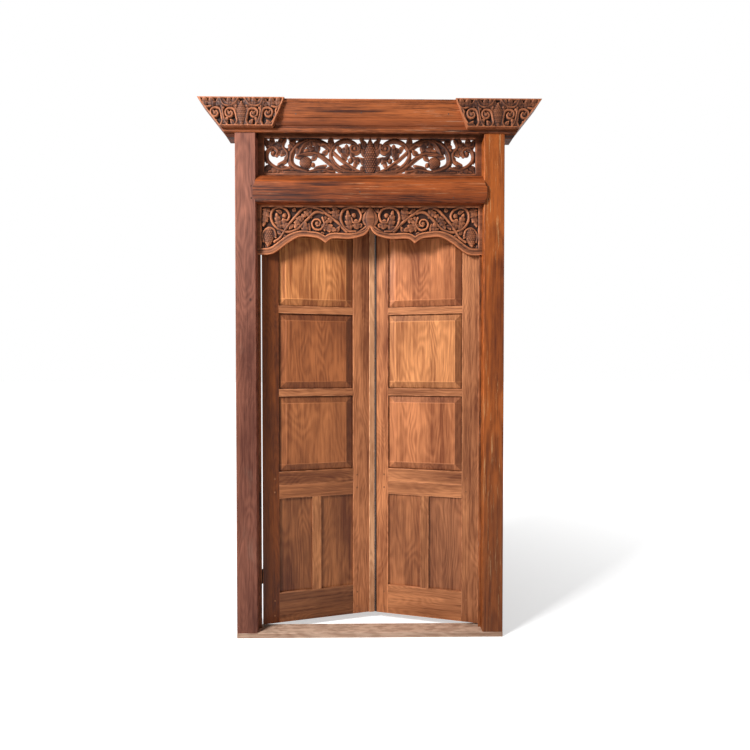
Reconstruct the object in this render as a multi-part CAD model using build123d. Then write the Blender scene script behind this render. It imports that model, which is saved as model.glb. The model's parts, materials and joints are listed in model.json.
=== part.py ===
from build123d import *
from math import cos, hypot, radians, sin
import os

# A carved double-leaf temple door in its frame, in millimetres.
# X runs along the wall, Y into the room behind the door, Z up.
# The origin is the centre of the sill's underside.
# Depths are measured back from the posts' front face, and turned into Y by one function.

# Frame
door_width = 1360.0            # over the two posts
door_height = 2720.0           # floor to the top of the crown
frame_depth = 90.0
post_width = 104.0
post_arris = 3.0               # chamfer on the posts' front edges
sill_height = 26.0
foot_tenon_length = 18.0
tenon_width = 50.0             # across the post, of the foot and head tenons
tenon_thickness = 30.0
tenon_setback = 32.0           # from the front face
head_tenon_length = 56.0
joint_clearance = 0.2          # each side of every tenon and tongue
overcut = 1.0                  # how far a cut runs out past the wood

# Crown
head_beam_height = 174.0
crown_top_overhang = 176.0     # past the posts' outer faces, at the top of the crown
crown_waist_overhang = 66.0    # at the foot of the carved corner blocks
crown_foot_overhang = 44.0     # at the underside of the beam's ears
post_lap = 8.0                 # how far the posts' faces stand in front of the beam
corner_block_height = 140.0
corner_top_width = 431.0
corner_foot_width = 261.0
corner_proud = 40.0            # carved face in front of the posts
corner_ground_proud = 22.0     # ground between the carved scrolls
corner_relief = 5.0            # leaves lie this far behind the scrolls
corner_rim = 12.0
corner_edge_setback = 0.5      # carving stops this far inside the block's edges
corner_shift = 8.0             # motif's middle, outward of the block's own
necking_height = 18.0
necking_proud = 8.0
necking_arris = 4.0
cornice_proud = 22.0           # top lip of the cornice
cornice_joint = 0.3            # open joint between cornice and blocks
ear_chamfer = 12.0
ear_drop = 52.0                # ears hang this far below the soffit between the posts
soffit_rise = 34.0             # slope of that soffit, from its front edge to the grille

# Pierced transom grille
grille_setback = 60.0
grille_thickness = 22.0
grille_upper_border = 33.0
grille_lower_border = 24.0
grille_side_border = 30.0
grille_field_height = 180.0
grille_tongue = 8.0            # let into the grooves of posts and beams
grille_recess = 3.0            # vines lie this far behind the border
grille_relief = 6.0            # leaves lie this far behind the vines

# Transom beam
transom_face_height = 100.0
transom_proud = 15.0
transom_bevel_rise = 49.0
transom_bevel_run = 45.0
transom_horn = 12.0            # lap of the beam's face over each post
horn_foot_rise = 31.0          # the lap's outer end starts this far above the beam's foot
horn_top_drop = 25.0           # and stops this far below the face's top
transom_arris = 4.0
transom_tenon_length = 38.0
transom_tenon_height = 100.0
transom_peg_inset = 23.0       # peg's centre, outward of the post's inner face
transom_peg_above = 34.0       # from the middle of the beam's face
transom_peg_below = 28.0

# Carved valance under the transom beam
valance_setback = 34.0
valance_thickness = 16.0
valance_tongue = 8.0
valance_side_border = 20.0
valance_top_border = 9.0
valance_recess = 2.0
valance_relief = 5.0
valance_drop = 250.0           # hang at the posts, the deepest place

# Stop beads on the posts
stop_width = 12.0
stop_thickness = 9.0

# Leaves
left_ajar = 13.0               # degrees, as the photograph shows them
right_ajar = 13.4
leaf_setback = 60.0
leaf_thickness = 30.0
leaf_head_gap = 9.0
leaf_floor_gap = 12.0
left_hinge_gap = 8.0           # between post and leaf edge
right_hinge_gap = 3.0
hinge_stile_width = 85.0
left_meeting_stile_width = 104.0
meeting_x = 16.0               # edge of the left leaf when shut, right of the centre
meeting_gap = 3.0
top_rail_height = 100.0
raised_panel_height = 397.0
thin_rail_height = 39.0
lock_rail_height = 70.0
bottom_rail_height = 157.0
muntin_width = 46.0
groove_depth = 10.0
tongue_thickness = 8.0
tongue_end_gap = 1.0           # room for a panel to swell
rail_tenon_length = 45.0
rail_tenon_shoulder = 12.0     # tenons are this much narrower at each edge of a rail
muntin_tenon_length = 30.0
panel_bevel = 37.0
panel_field_setback = 2.0      # field behind the stiles' faces
panel_step = 1.5               # little upright step round the field
panel_back_thickness = 5.0
panel_sight_gap = 0.5          # between a raised panel's edge and its frame
astragal_width = 30.0
astragal_overhang = 15.0
astragal_thickness = 6.0
astragal_arris = 2.0
astragal_relief = 1.0          # back of the overhang, clear of the right leaf
astragal_end_gap = 2.0
meeting_rebate_width = 10.0
meeting_rebate_depth = 4.0
peg_size = 8.0
peg_length = 24.0
peg_proud = 0.8
peg_clearance = 0.1
peg_end_gap = 2.0              # hole deeper than the peg

# Butt hinges
hinge_height = 76.0
hinge_plate_thickness = 3.0
hinge_plate_setback = 4.0      # plate's front edge behind the leaf's face
hinge_knuckles = 2             # a lift-off hinge: the leaf's knuckle stands on the post's
knuckle_radius = 5.5
knuckle_gap = 0.3
pin_radius = 3.0
pin_clearance = 0.05
pin_setout = 6.0               # pin centre behind the frame's back
plate_run_out = 1.1            # flat of the plate ends this far short of the knuckles
hinge_from_foot = 240.0        # hinge centre above the leaf's foot
hinge_from_head = 173.0        # hinge centre below the leaf's head

# Places that follow from the above
opening_half = door_width / 2 - post_width
crown_top_half = door_width / 2 + crown_top_overhang
crown_waist_half = door_width / 2 + crown_waist_overhang
crown_foot_half = door_width / 2 + crown_foot_overhang
head_foot_z = door_height - head_beam_height
soffit_z = head_foot_z + ear_drop
block_foot_z = door_height - corner_block_height
necking_foot_z = block_foot_z - necking_height
ledge_z = soffit_z - grille_upper_border - grille_field_height - grille_lower_border
transom_foot_z = ledge_z - transom_bevel_rise - transom_face_height
field_foot_z = ledge_z + grille_lower_border
leaf_head_z = transom_foot_z - leaf_head_gap
leaf_foot_z = sill_height + leaf_floor_gap
pin_depth = frame_depth + pin_setout
left_edge_x = -opening_half + left_hinge_gap
right_edge_x = opening_half - right_hinge_gap
left_pin_x = -opening_half + left_hinge_gap / 2
right_pin_x = opening_half - right_hinge_gap / 2
left_leaf_width = meeting_x - left_edge_x
right_leaf_width = right_edge_x - meeting_x - meeting_gap
panel_width = left_leaf_width - hinge_stile_width - left_meeting_stile_width
frame_peg_length = tenon_setback + tenon_thickness + peg_end_gap


def y_at(depth):
    """Y of a point that lies this far behind the posts' front face"""
    return depth - frame_depth / 2


def block(x0, x1, d0, d1, z0, z1):
    """Box between two X, two depths and two heights"""
    centre = Pos((x0 + x1) / 2, y_at((d0 + d1) / 2), (z0 + z1) / 2)
    return centre * Box(abs(x1 - x0), abs(d1 - d0), abs(z1 - z0))


def face_prism(outline, d0, d1):
    """Outline of (x, z) points, carried back from depth d0 to d1"""
    wire = Wire.make_polygon([(x, y_at(d0), z) for x, z in outline], close=True)
    return extrude(Face(wire), amount=d1 - d0, dir=(0, 1, 0))


def length_prism(section, x0, x1):
    """Section of (depth, z) points, carried from x0 to x1"""
    wire = Wire.make_polygon([(x0, y_at(d), z) for d, z in section], close=True)
    return extrude(Face(wire), amount=x1 - x0, dir=(1, 0, 0))


def post_prism(section, z0, z1):
    """Section of (x, depth) points, carried from z0 to z1"""
    wire = Wire.make_polygon([(x, y_at(d), z0) for x, d in section], close=True)
    return extrude(Face(wire), amount=z1 - z0, dir=(0, 0, 1))


def mirrored(solid):
    return mirror(solid, about=Plane.YZ)


def grown(x0, x1, d0, d1, z0, z1, gap=joint_clearance):
    """The hollow that a block of this size fits, with a clearance all round"""
    return block(x0 - gap, x1 + gap, d0 - gap, d1 + gap, z0 - gap, z1 + gap)


def crown_half(z):
    """Half width of the crown at a height: two slants that meet at the blocks' foot"""
    if z >= block_foot_z:
        share = (z - block_foot_z) / corner_block_height
        return crown_waist_half + share * (crown_top_half - crown_waist_half)
    share = (z - head_foot_z) / (block_foot_z - head_foot_z)
    return crown_foot_half + share * (crown_waist_half - crown_foot_half)


def corner_inner(z):
    """Inner edge of a corner block at a height"""
    share = (z - block_foot_z) / corner_block_height
    return crown_half(z) - corner_foot_width - share * (corner_top_width - corner_foot_width)


# Carved ornament
# It is drawn flat, as (x, z) points, with x measured out from the middle of each motif.

def both_sides(faces):
    """The faces and their mirror images across the middle"""
    return faces + [mirror(face, about=Plane.YZ) for face in faces]


def curl(x, z, r0, r1, start, turn, steps):
    """Points of a spiral about (x, z) whose radius goes from r0 to r1 over a turn in degrees"""
    points = []
    for step in range(steps + 1):
        share = step / steps
        r = r0 + (r1 - r0) * share
        a = radians(start + turn * share)
        points.append((x + r * cos(a), z + r * sin(a)))
    return points


def smooth(points, per_span=2):
    """Closer points on a smooth line through the given ones"""
    ends = [points[0]] + list(points) + [points[-1]]
    line = []
    for a, b, c, d in zip(ends, ends[1:], ends[2:], ends[3:]):
        for step in range(per_span):
            t = step / per_span
            line.append(tuple(0.5 * (2 * q + (r - p) * t + (2 * p - 5 * q + 4 * r - s) * t ** 2
                                     + (3 * q - p - 3 * r + s) * t ** 3)
                              for p, q, r, s in zip(a, b, c, d)))
    return line + [points[-1]]


def polygon(points):
    return Face(Wire.make_polygon([(x, z, 0) for x, z in points], close=True))


def vine(points, width, end_width):
    """Band along the points, from one width to another"""
    last = len(points) - 1
    left, right = [], []
    for i, (x, z) in enumerate(points):
        before, after = points[max(i - 1, 0)], points[min(i + 1, last)]
        along = hypot(after[0] - before[0], after[1] - before[1])
        half = (width + (end_width - width) * i / last) / 2
        nx, nz = (before[1] - after[1]) / along * half, (after[0] - before[0]) / along * half
        left.append((x + nx, z + nz))
        right.append((x - nx, z - nz))
    return polygon(left + right[::-1])


# Outlines of leaves, as (share of the length, share of the width) along one side
plain_side = [(0.0, 0.12), (0.3, 0.48), (0.7, 0.36), (1.0, 0.0)]
lobed_side = [(0.0, 0.14), (0.2, 0.5), (0.38, 0.3), (0.56, 0.46), (1.0, 0.0)]
bud_side = [(0.0, 0.2), (0.12, 0.38), (0.34, 0.5), (0.6, 0.44), (0.84, 0.18), (1.0, 0.0)]


def leaf(x, z, tip_x, tip_z, width, side=plain_side):
    """Leaf from its foot to its tip, with the given outline"""
    dx, dz = tip_x - x, tip_z - z
    length = hypot(dx, dz)
    nx, nz = -dz / length * width, dx / length * width
    left = [(x + s * dx + w * nx, z + s * dz + w * nz) for s, w in side]
    right = [(x + s * dx - w * nx, z + s * dz - w * nz) for s, w in side[-2::-1]]
    return polygon(left + right)


def rectangle(half, foot, top):
    """Flat rectangle, even about the middle"""
    return polygon([(-half, foot), (half, foot), (half, top), (-half, top)])


def disc(x, z, radius, sides=8):
    return polygon(curl(x, z, radius, radius, 0, 360, sides)[:-1])


def motif(vines, leaves, lobed, buds, discs, across, up):
    """Flat faces of a drawn layout, stretched to the board that it fills

    The vines come first, with the buds and discs that stand as proud as they do, then the lower leaves.
    On a longer board they are stouter too, so that they still meet.
    """
    stout = max(across, up, 1.0)
    proud = [vine([(x * across, z * up) for x, z in points], width * stout, end_width * stout)
             for points, width, end_width in vines]
    proud += [disc(x * across, z * up, radius * stout) for x, z, radius in discs]
    low = []
    kinds = ((leaves, plain_side, low), (lobed, lobed_side, low), (buds, bud_side, proud))
    for entries, side, faces in kinds:
        for x, z, tip_x, tip_z, width in entries:
            faces.append(leaf(x * across, z * up, tip_x * across, tip_z * up, width * stout, side))
    return both_sides(proud), both_sides(low)


def region(faces, clip):
    """Flat faces fused, and trimmed to an outline"""
    fused = faces[0].fuse(*faces[1:])
    return (fused & clip).faces()


def layered(layers, d_back, base_x, base_z):
    """One solid from flat regions, each carried forward from the face of the one behind it"""
    solids = []
    for faces, d_front in layers:
        plane = Plane(origin=(base_x, y_at(d_back), base_z), x_dir=(1, 0, 0), z_dir=(0, -1, 0))
        solids += [extrude(plane * face, amount=d_back - d_front, dir=(0, -1, 0)) for face in faces]
        d_back = d_front
    return solids[0].fuse(*solids[1:]).clean()


# Right half of the transom grille, from the middle of its pierced field
# It is drawn for this half width and height of the field.
grille_drawn = (546.0, 180.0)
grille_vines = [
    # great ring, rolling in to its volute
    (curl(132, 3, 84, 70, -92, 255, 7) + curl(86, 24, 27, 13, 190, 265, 4), 15, 9),
    # long stem that feeds the ring
    ([(372, 8), (318, 12), (268, -2), (218, -32), (118, -84)], 14, 13),
    # thin stem across the ring
    ([(196, 22), (166, -8), (132, -34), (56, -84)], 9, 8),
    # tendril beside the bud
    ([(54, 90), (42, 60), (58, 4), (48, -28), (30, -62), (28, -90)], 9, 8),
    # thick outer scroll
    ([(330, 80), (362, 64), (404, 36), (420, 2), (414, -34), (350, -84)], 24, 15),
    # end ring, rolling in
    ([(430, -88), (475, -62), (520, -42), (543, -12), (541, 14), (519, 30), (496, 16), (506, -6)], 14, 8),
    # stem inside the end ring
    ([(440, 84), (462, 54), (456, 22), (474, -4), (480, -60)], 10, 9),
]
grille_leaves = [
    (30, 62, 76, 92, 20), (36, -52, 74, -78, 22), (64, -4, 36, 6, 14), (100, -64, 136, -34, 22),
    (118, -16, 158, 30, 24), (116, 62, 84, 66, 18), (252, -6, 216, 40, 34),
    (300, -62, 260, -40, 24), (284, -40, 286, -84, 24), (350, 60, 368, 12, 30),
    (392, 40, 420, 88, 24), (432, -28, 479, -18, 26), (488, 26, 470, 92, 24),
    (516, 26, 551, 86, 24), (470, -64, 526, -94, 22), (524, -40, 540, -84, 18),
    (420, -44, 450, -88, 26), (404, -10, 350, -18, 20), (318, 14, 334, -24, 20),
]
grille_lobed = [(330, 92, 206, 24, 44), (214, 98, 210, 40, 34), (58, -88, 122, 2, 26),
                (330, -84, 262, -52, 30)]
grille_buds = [(0, -94, 0, 92, 72)]
grille_discs = [(108, -17, 17), (338, -34, 35), (508, 8, 12), (86, 24, 10), (46, 78, 9)]


# Right half of the valance, from the middle of its top edge
# It is drawn for this half width and drop. Its lower edge is two sweeps that meet at a cusp,
# as (x, z, height of the rim there).
valance_drawn = (576.0, 250.0)
valance_inner_sweep = [(0, -110, 7), (14, -134, 14), (40, -153, 21), (103, -168, 26), (192, -167, 27),
                       (229, -190, 27)]
valance_outer_sweep = [(229, -190, 27), (262, -168, 27), (300, -160, 27), (362, -159, 28), (421, -190, 33),
                       (500, -245, 33), (576, -250, 32)]
valance_vines = [
    # great ring, rolling in
    ([(386, -130), (417, -137), (451, -131), (489, -108), (511, -66), (496, -22), (462, -10),
      (432, -22), (421, -52), (438, -74), (452, -66)], 12, 8),
    # wave stem
    ([(438, -128), (415, -91), (378, -38), (344, -17), (300, -13), (241, -36), (182, -86), (92, -145)],
     11, 13),
    # second stem
    ([(396, -130), (332, -79), (297, -56), (238, -38)], 11, 9),
    # rosette scroll under the wave
    ([(238, -40), (226, -62)] + curl(272, -91, 38, 11, 140, 500, 8), 9, 7),
    # inner ring
    ([(92, -140), (130, -106), (148, -70), (141, -31), (108, -14), (74, -28), (66, -58), (84, -73),
      (96, -64)], 11, 8),
    # hook over the corner bud
    ([(556, -152)] + curl(519, -146, 26, 25, -12, 215, 4), 9, 8),
    # rim of the centre piece
    ([(76, -150), (44, -136), (18, -112), (0, -94)], 13, 10),
]
valance_leaves = [
    (28, -82, 66, -104, 20), (76, -70, 60, -112, 20), (144, -86, 118, -38, 16),
    (230, -50, 206, -96, 16), (236, -104, 196, -108, 20),
    (300, -62, 332, -30, 16), (346, -92, 366, -46, 18), (316, -72, 300, -134, 18),
    (402, -92, 372, -90, 14), (430, -110, 470, -88, 24),
    (490, -24, 452, -40, 18), (440, -124, 452, -168, 16), (482, -112, 474, -156, 16),
    (498, -134, 478, -146, 16), (560, -60, 512, -50, 16), (560, -96, 508, -108, 16),
    (40, -52, 70, -14, 20),
]
valance_lobed = [(560, 0, 538, -124, 40), (110, -140, 60, -96, 40), (174, -100, 174, -4, 34),
                 (218, -150, 222, -80, 44), (340, -150, 330, -84, 34), (10, -60, 62, -4, 34)]
valance_buds = [(0, -100, 0, -2, 76), (516, -226, 516, -140, 48)]
valance_discs = [(398, -91, 9), (446, -60, 11), (90, -54, 11), (272, -91, 12)]


# Right corner block, from the middle of its foot edge
# It is drawn for this width at mid height, and this height.
corner_drawn = (346.0, 140.0)
corner_vines = [
    ([(26, 8), (24, 34)] + curl(66, 64, 36, 10, 185, -450, 7), 12, 7),
    ([(94, 8), (92, 40)] + curl(130, 68, 35, 10, 185, -450, 7), 12, 7),
]
corner_leaves = [
    (10, 14, 30, 40, 18), (40, 100, 22, 138, 20), (62, 100, 56, 138, 20), (84, 96, 88, 138, 20),
    (118, 102, 112, 138, 20), (144, 98, 152, 138, 20), (166, 92, 190, 132, 24), (52, 10, 66, 34, 18),
    (84, 12, 74, 40, 14), (118, 10, 130, 36, 18),
]
corner_buds = [(0, 34, 0, 128, 66)]
corner_discs = [(24, 10, 11), (0, 26, 16)]

# Profile of the cornice from its lip down, as (behind the lip, above the foot)
# It is drawn for this height. A run of three points is an arc.
cornice_drawn_height = 140.0
cornice_runs = [[(0, 140), (0, 128)], [(0, 128), (4, 125)], [(4, 125), (5, 88), (12, 54)],
                [(12, 54), (15, 52)], [(15, 52), (15, 46)], [(15, 46), (15, 30), (21, 18)],
                [(21, 18), (24, 16)], [(24, 16), (24, 12)], [(24, 12), (20, 10)], [(20, 10), (20, 0)]]


def make_threshold():
    sill = block(-door_width / 2, door_width / 2, 0, frame_depth, 0, sill_height)
    for side in (-1, 1):
        centre = side * (door_width / 2 - post_width / 2)
        sill -= grown(centre - tenon_width / 2, centre + tenon_width / 2, tenon_setback,
                      tenon_setback + tenon_thickness, sill_height - foot_tenon_length, sill_height + overcut)
    return sill


def hinge_centres():
    return {"lower": leaf_foot_z + hinge_from_foot, "upper": leaf_head_z - hinge_from_head}


def transom_peg_heights():
    middle = transom_foot_z + transom_face_height / 2
    return [middle - transom_peg_below, middle + transom_peg_above]


def transom_tenon(side, gap=0.0):
    """Box of the transom beam's tenon, or of its mortise with a gap"""
    middle = transom_foot_z + (transom_face_height + transom_bevel_rise) / 2
    return block(side * (opening_half - overcut), side * (opening_half + transom_tenon_length + gap),
                 tenon_setback - gap, tenon_setback + tenon_thickness + gap,
                 middle - transom_tenon_height / 2 - gap, middle + transom_tenon_height / 2 + gap)


def make_post():
    """Right post; the left one is its mirror image apart from its hinge recesses"""
    x0, x1 = opening_half, door_width / 2
    section = [(x0, post_arris), (x0 + post_arris, 0), (x1 - post_arris, 0), (x1, post_arris),
               (x1, frame_depth), (x0, frame_depth)]
    post = post_prism(section, sill_height, head_foot_z)
    cheek = [(x0, post_arris), (x0 + post_arris, 0), (x1 - post_arris, 0), (x1, post_arris),
             (x1, post_lap), (x0, post_lap)]
    post += post_prism(cheek, head_foot_z, necking_foot_z)
    middle = (x0 + x1) / 2
    for z0, z1 in ((sill_height - foot_tenon_length + joint_clearance, sill_height),
                   (head_foot_z, head_foot_z + head_tenon_length)):
        post += block(middle - tenon_width / 2, middle + tenon_width / 2, tenon_setback,
                      tenon_setback + tenon_thickness, z0, z1)
    post -= block(x0 - overcut, x0 + grille_tongue + joint_clearance, grille_setback - joint_clearance,
                  grille_setback + grille_thickness + joint_clearance, ledge_z - grille_tongue, head_foot_z)
    post -= transom_tenon(1, joint_clearance)
    for z in transom_peg_heights():
        post -= peg_hole(opening_half + transom_peg_inset, z, 0.0, frame_peg_length + peg_end_gap)
    return post


def peg_hole(x, z, depth, length):
    """Square hole for a peg, from a depth backwards"""
    half = peg_size / 2 + peg_clearance
    return block(x - half, x + half, depth - overcut, depth + length, z - half, z + half)


def peg(x, z, depth, length):
    half = peg_size / 2
    return block(x - half, x + half, depth - peg_proud, depth + length, z - half, z + half)


def make_head_beam():
    outline = [(-crown_top_half, door_height), (crown_top_half, door_height),
               (crown_waist_half, block_foot_z), (crown_foot_half, head_foot_z),
               (-crown_foot_half, head_foot_z), (-crown_waist_half, block_foot_z)]
    beam = face_prism(outline, post_lap, frame_depth)
    # front edge of the ears, planed off
    beam -= length_prism([(post_lap - overcut, head_foot_z - overcut),
                          (post_lap - overcut, head_foot_z + ear_chamfer + overcut),
                          (post_lap + ear_chamfer + overcut, head_foot_z - overcut)], -door_width, door_width)
    # sloping soffit between the posts, with the groove for the grille
    soffit_front = soffit_z - soffit_rise
    soffit = [(post_lap - overcut, head_foot_z - overcut), (post_lap - overcut, soffit_front),
              (post_lap, soffit_front), (grille_setback, soffit_z), (frame_depth + overcut, soffit_z),
              (frame_depth + overcut, head_foot_z - overcut)]
    beam -= length_prism(soffit, -opening_half, opening_half)
    groove_half = opening_half + grille_tongue + joint_clearance
    beam -= block(-groove_half, groove_half, grille_setback - joint_clearance,
                  grille_setback + grille_thickness + joint_clearance, head_foot_z - overcut,
                  soffit_z + grille_tongue + joint_clearance)
    for side in (-1, 1):
        centre = side * (opening_half + post_width / 2)
        beam -= grown(centre - tenon_width / 2, centre + tenon_width / 2, tenon_setback,
                      tenon_setback + tenon_thickness, head_foot_z - overcut, head_foot_z + head_tenon_length)
    return beam


def make_necking():
    """Strip along the foot of the crown, over the posts' heads"""
    foot, top = crown_half(necking_foot_z), crown_half(block_foot_z)
    outline = [(-top, block_foot_z), (top, block_foot_z), (foot, necking_foot_z), (-foot, necking_foot_z)]
    strip = face_prism(outline, -necking_proud, post_lap)
    reach = necking_arris + overcut
    edge = [(-necking_proud - overcut, necking_foot_z - overcut),
            (-necking_proud - overcut, necking_foot_z - overcut + reach),
            (-necking_proud - overcut + reach, necking_foot_z - overcut)]
    return strip - length_prism(edge, -door_width, door_width)


def make_cornice():
    """Moulded board between the corner blocks, flaring forward to its lip"""
    z0, z1 = block_foot_z, door_height
    up = corner_block_height / cornice_drawn_height
    back = cornice_proud + post_lap
    lip, foot = cornice_runs[0][0], cornice_runs[-1][-1]
    top_corner, foot_corner = (back, lip[1]), (back, foot[1])
    edges = []
    for run in [[top_corner, lip]] + cornice_runs + [[foot, foot_corner], [foot_corner, top_corner]]:
        points = [Vector(0, y_at(depth - cornice_proud), z0 + z * up) for depth, z in run]
        edges.append(Line(*points) if len(points) == 2 else ThreePointArc(*points))
    half = corner_inner(z0)
    board = Pos(-half, 0, 0) * extrude(Face(Wire(edges)), amount=2 * half, dir=(1, 0, 0))
    foot_half, top_half = corner_inner(z0) - cornice_joint, corner_inner(z1) - cornice_joint
    between = face_prism([(-foot_half, z0), (foot_half, z0), (top_half, z1), (-top_half, z1)],
                         -cornice_proud - overcut, post_lap)
    return board & between


def corner_outline(inset, base_x=0.0, base_z=0.0):
    """Outline of the right corner block about a base point, drawn in by an inset on every side but the top"""
    foot, top = block_foot_z + inset, door_height
    points = [(crown_half(top) - inset, top), (crown_half(foot) - inset, foot),
              (corner_inner(foot) + inset, foot), (corner_inner(top) + inset, top)]
    return [(x - base_x, z - base_z) for x, z in points]


def make_corner_block():
    """Right corner block: ground, rim and carved scrolls"""
    middle_z = block_foot_z + corner_block_height / 2
    outer, inner = crown_half(middle_z), corner_inner(middle_z)
    base_x = (outer + inner) / 2 + corner_shift
    whole = polygon(corner_outline(0.0, base_x, block_foot_z))
    rim = whole - polygon(corner_outline(corner_rim, base_x, block_foot_z))
    vines, leaves = motif(corner_vines, corner_leaves, [], corner_buds, corner_discs,
                          (outer - inner) / corner_drawn[0], corner_block_height / corner_drawn[1])
    inside = polygon(corner_outline(corner_edge_setback, base_x, block_foot_z))
    everything = region([rim] + leaves + vines, inside)
    proud = region(vines, inside)
    return layered([([whole], -corner_ground_proud), (everything, corner_relief - corner_proud),
                    (proud, -corner_proud)], post_lap, base_x, block_foot_z)


def make_transom_beam():
    front = -transom_proud
    face_top = transom_foot_z + transom_face_height
    section = [(front, transom_foot_z + transom_arris), (front, face_top),
               (front + transom_bevel_run, ledge_z), (frame_depth, ledge_z), (frame_depth, transom_foot_z),
               (front + transom_arris, transom_foot_z)]
    half = opening_half - joint_clearance
    beam = length_prism(section, -half, half)
    horn_half = opening_half + transom_horn
    horn = [(half - overcut, transom_foot_z + transom_arris), (horn_half, transom_foot_z + horn_foot_rise),
            (horn_half, face_top - horn_top_drop), (half - overcut, face_top)]
    for side in (-1, 1):
        beam += face_prism([(side * x, z) for x, z in horn], front, -joint_clearance)
        beam += transom_tenon(side)
        for z in transom_peg_heights():
            beam -= peg_hole(side * (opening_half + transom_peg_inset), z, tenon_setback,
                             tenon_thickness + overcut)
    cut_half = half + overcut
    beam -= block(-cut_half, cut_half, valance_setback - joint_clearance,
                  valance_setback + valance_thickness + joint_clearance, transom_foot_z - overcut,
                  transom_foot_z + valance_tongue + joint_clearance)
    beam -= block(-cut_half, cut_half, grille_setback - joint_clearance,
                  grille_setback + grille_thickness + joint_clearance,
                  ledge_z - grille_tongue - joint_clearance, ledge_z + overcut)
    return beam


def make_frame_pegs():
    pegs = []
    for side in (-1, 1):
        for z in transom_peg_heights():
            pegs.append(peg(side * (opening_half + transom_peg_inset), z, 0.0, frame_peg_length))
    return Compound(children=pegs)


def make_grille():
    """Pierced transom board: plain border, with leaves and vines in steps behind its face"""
    half = opening_half + grille_tongue - joint_clearance
    middle = field_foot_z + grille_field_height / 2
    field_half = opening_half - grille_side_border
    foot, top = ledge_z - grille_tongue - middle, soffit_z + grille_tongue - middle
    rise = grille_field_height / 2
    whole = rectangle(half, foot, top)
    border = whole - rectangle(field_half, -rise, rise)
    vines, leaves = motif(grille_vines, grille_leaves, grille_lobed, grille_buds, grille_discs,
                          field_half / grille_drawn[0], grille_field_height / grille_drawn[1])
    everything = region([border] + leaves + vines, whole)
    proud = region([border] + vines, whole)
    face = grille_setback + grille_recess
    return layered([(everything, face + grille_relief), (proud, face), ([border], grille_setback)],
                   grille_setback + grille_thickness, 0.0, middle)


def make_valance():
    """Scalloped openwork board, hung in the groove under the transom beam"""
    across, up = opening_half / valance_drawn[0], valance_drop / valance_drawn[1]
    sweeps = smooth(valance_inner_sweep) + smooth(valance_outer_sweep)[1:]
    edge = [(x * across, z * up, rise) for x, z, rise in sweeps]
    end, side = opening_half - 2 * joint_clearance, opening_half - valance_side_border
    lower = [(min(x, end), z) for x, z, rise in edge]
    upper = [(x, z + rise) for x, z, rise in edge if x < side]
    upper.append((side, upper[-1][1]))
    whole = around_centre([(end, valance_tongue)] + lower[::-1])
    border = whole - around_centre([(side, -valance_top_border)] + upper[::-1])
    vines, leaves = motif(valance_vines, valance_leaves, valance_lobed, valance_buds, valance_discs,
                          across, up)
    everything = region([border] + leaves + vines, whole)
    proud = region([border] + vines, whole)
    face = valance_setback + valance_recess
    return layered([(everything, face + valance_relief), (proud, face), ([border], valance_setback)],
                   valance_setback + valance_thickness, 0.0, transom_foot_z)


def around_centre(points):
    """Face from the right half of an outline whose last point lies on the centre line"""
    return polygon(points + [(-x, z) for x, z in points[-2::-1]])


def make_stop(side):
    depth = valance_setback + valance_thickness
    return block(side * opening_half, side * (opening_half - stop_width), depth, depth + stop_thickness,
                 sill_height, transom_foot_z)


# Leaves
# A leaf is drawn shut, with u measured from its hinge edge towards the meeting edge.

def leaf_rows():
    """Heights of every rail and panel of a leaf, from the head down"""
    rows = {}
    z = leaf_head_z
    for name, height in (("top_rail", top_rail_height), ("upper_panel", raised_panel_height),
                         ("upper_rail", thin_rail_height), ("middle_panel", raised_panel_height),
                         ("lower_rail", thin_rail_height), ("lower_raised_panel", raised_panel_height),
                         ("upper_lock_rail", lock_rail_height), ("lower_lock_rail", lock_rail_height)):
        rows[name] = (z - height, z)
        z -= height
    rows["bottom_rail"] = (leaf_foot_z, leaf_foot_z + bottom_rail_height)
    rows["flat_panel"] = (leaf_foot_z + bottom_rail_height, z)
    return rows


rows = leaf_rows()
leaf_back = leaf_setback + leaf_thickness
tongue_front = leaf_setback + (leaf_thickness - tongue_thickness) / 2
tongue_back = tongue_front + tongue_thickness
panel_u0 = hinge_stile_width
panel_u1 = hinge_stile_width + panel_width
panel_middle = (panel_u0 + panel_u1) / 2
rail_names = ["top_rail", "upper_rail", "lower_rail", "upper_lock_rail", "lower_lock_rail", "bottom_rail"]
pegged = {"top_rail": [0.5], "upper_lock_rail": [0.5], "lower_lock_rail": [0.5], "bottom_rail": [0.25, 0.75]}


def groove_u(u0, u1, z0, z1):
    """Groove or mortise between two u and two heights, as wide as a tongue with its clearance"""
    return block(u0, u1, tongue_front - joint_clearance, tongue_back + joint_clearance, z0, z1)


def peg_places():
    """(u, z) of every peg in a leaf"""
    places = []
    for name, shares in pegged.items():
        z0, z1 = rows[name]
        for share in shares:
            z = z0 + share * (z1 - z0)
            places.append((panel_u0 - rail_tenon_length / 2, z))
            places.append((panel_u1 + rail_tenon_length / 2, z))
    return places


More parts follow.
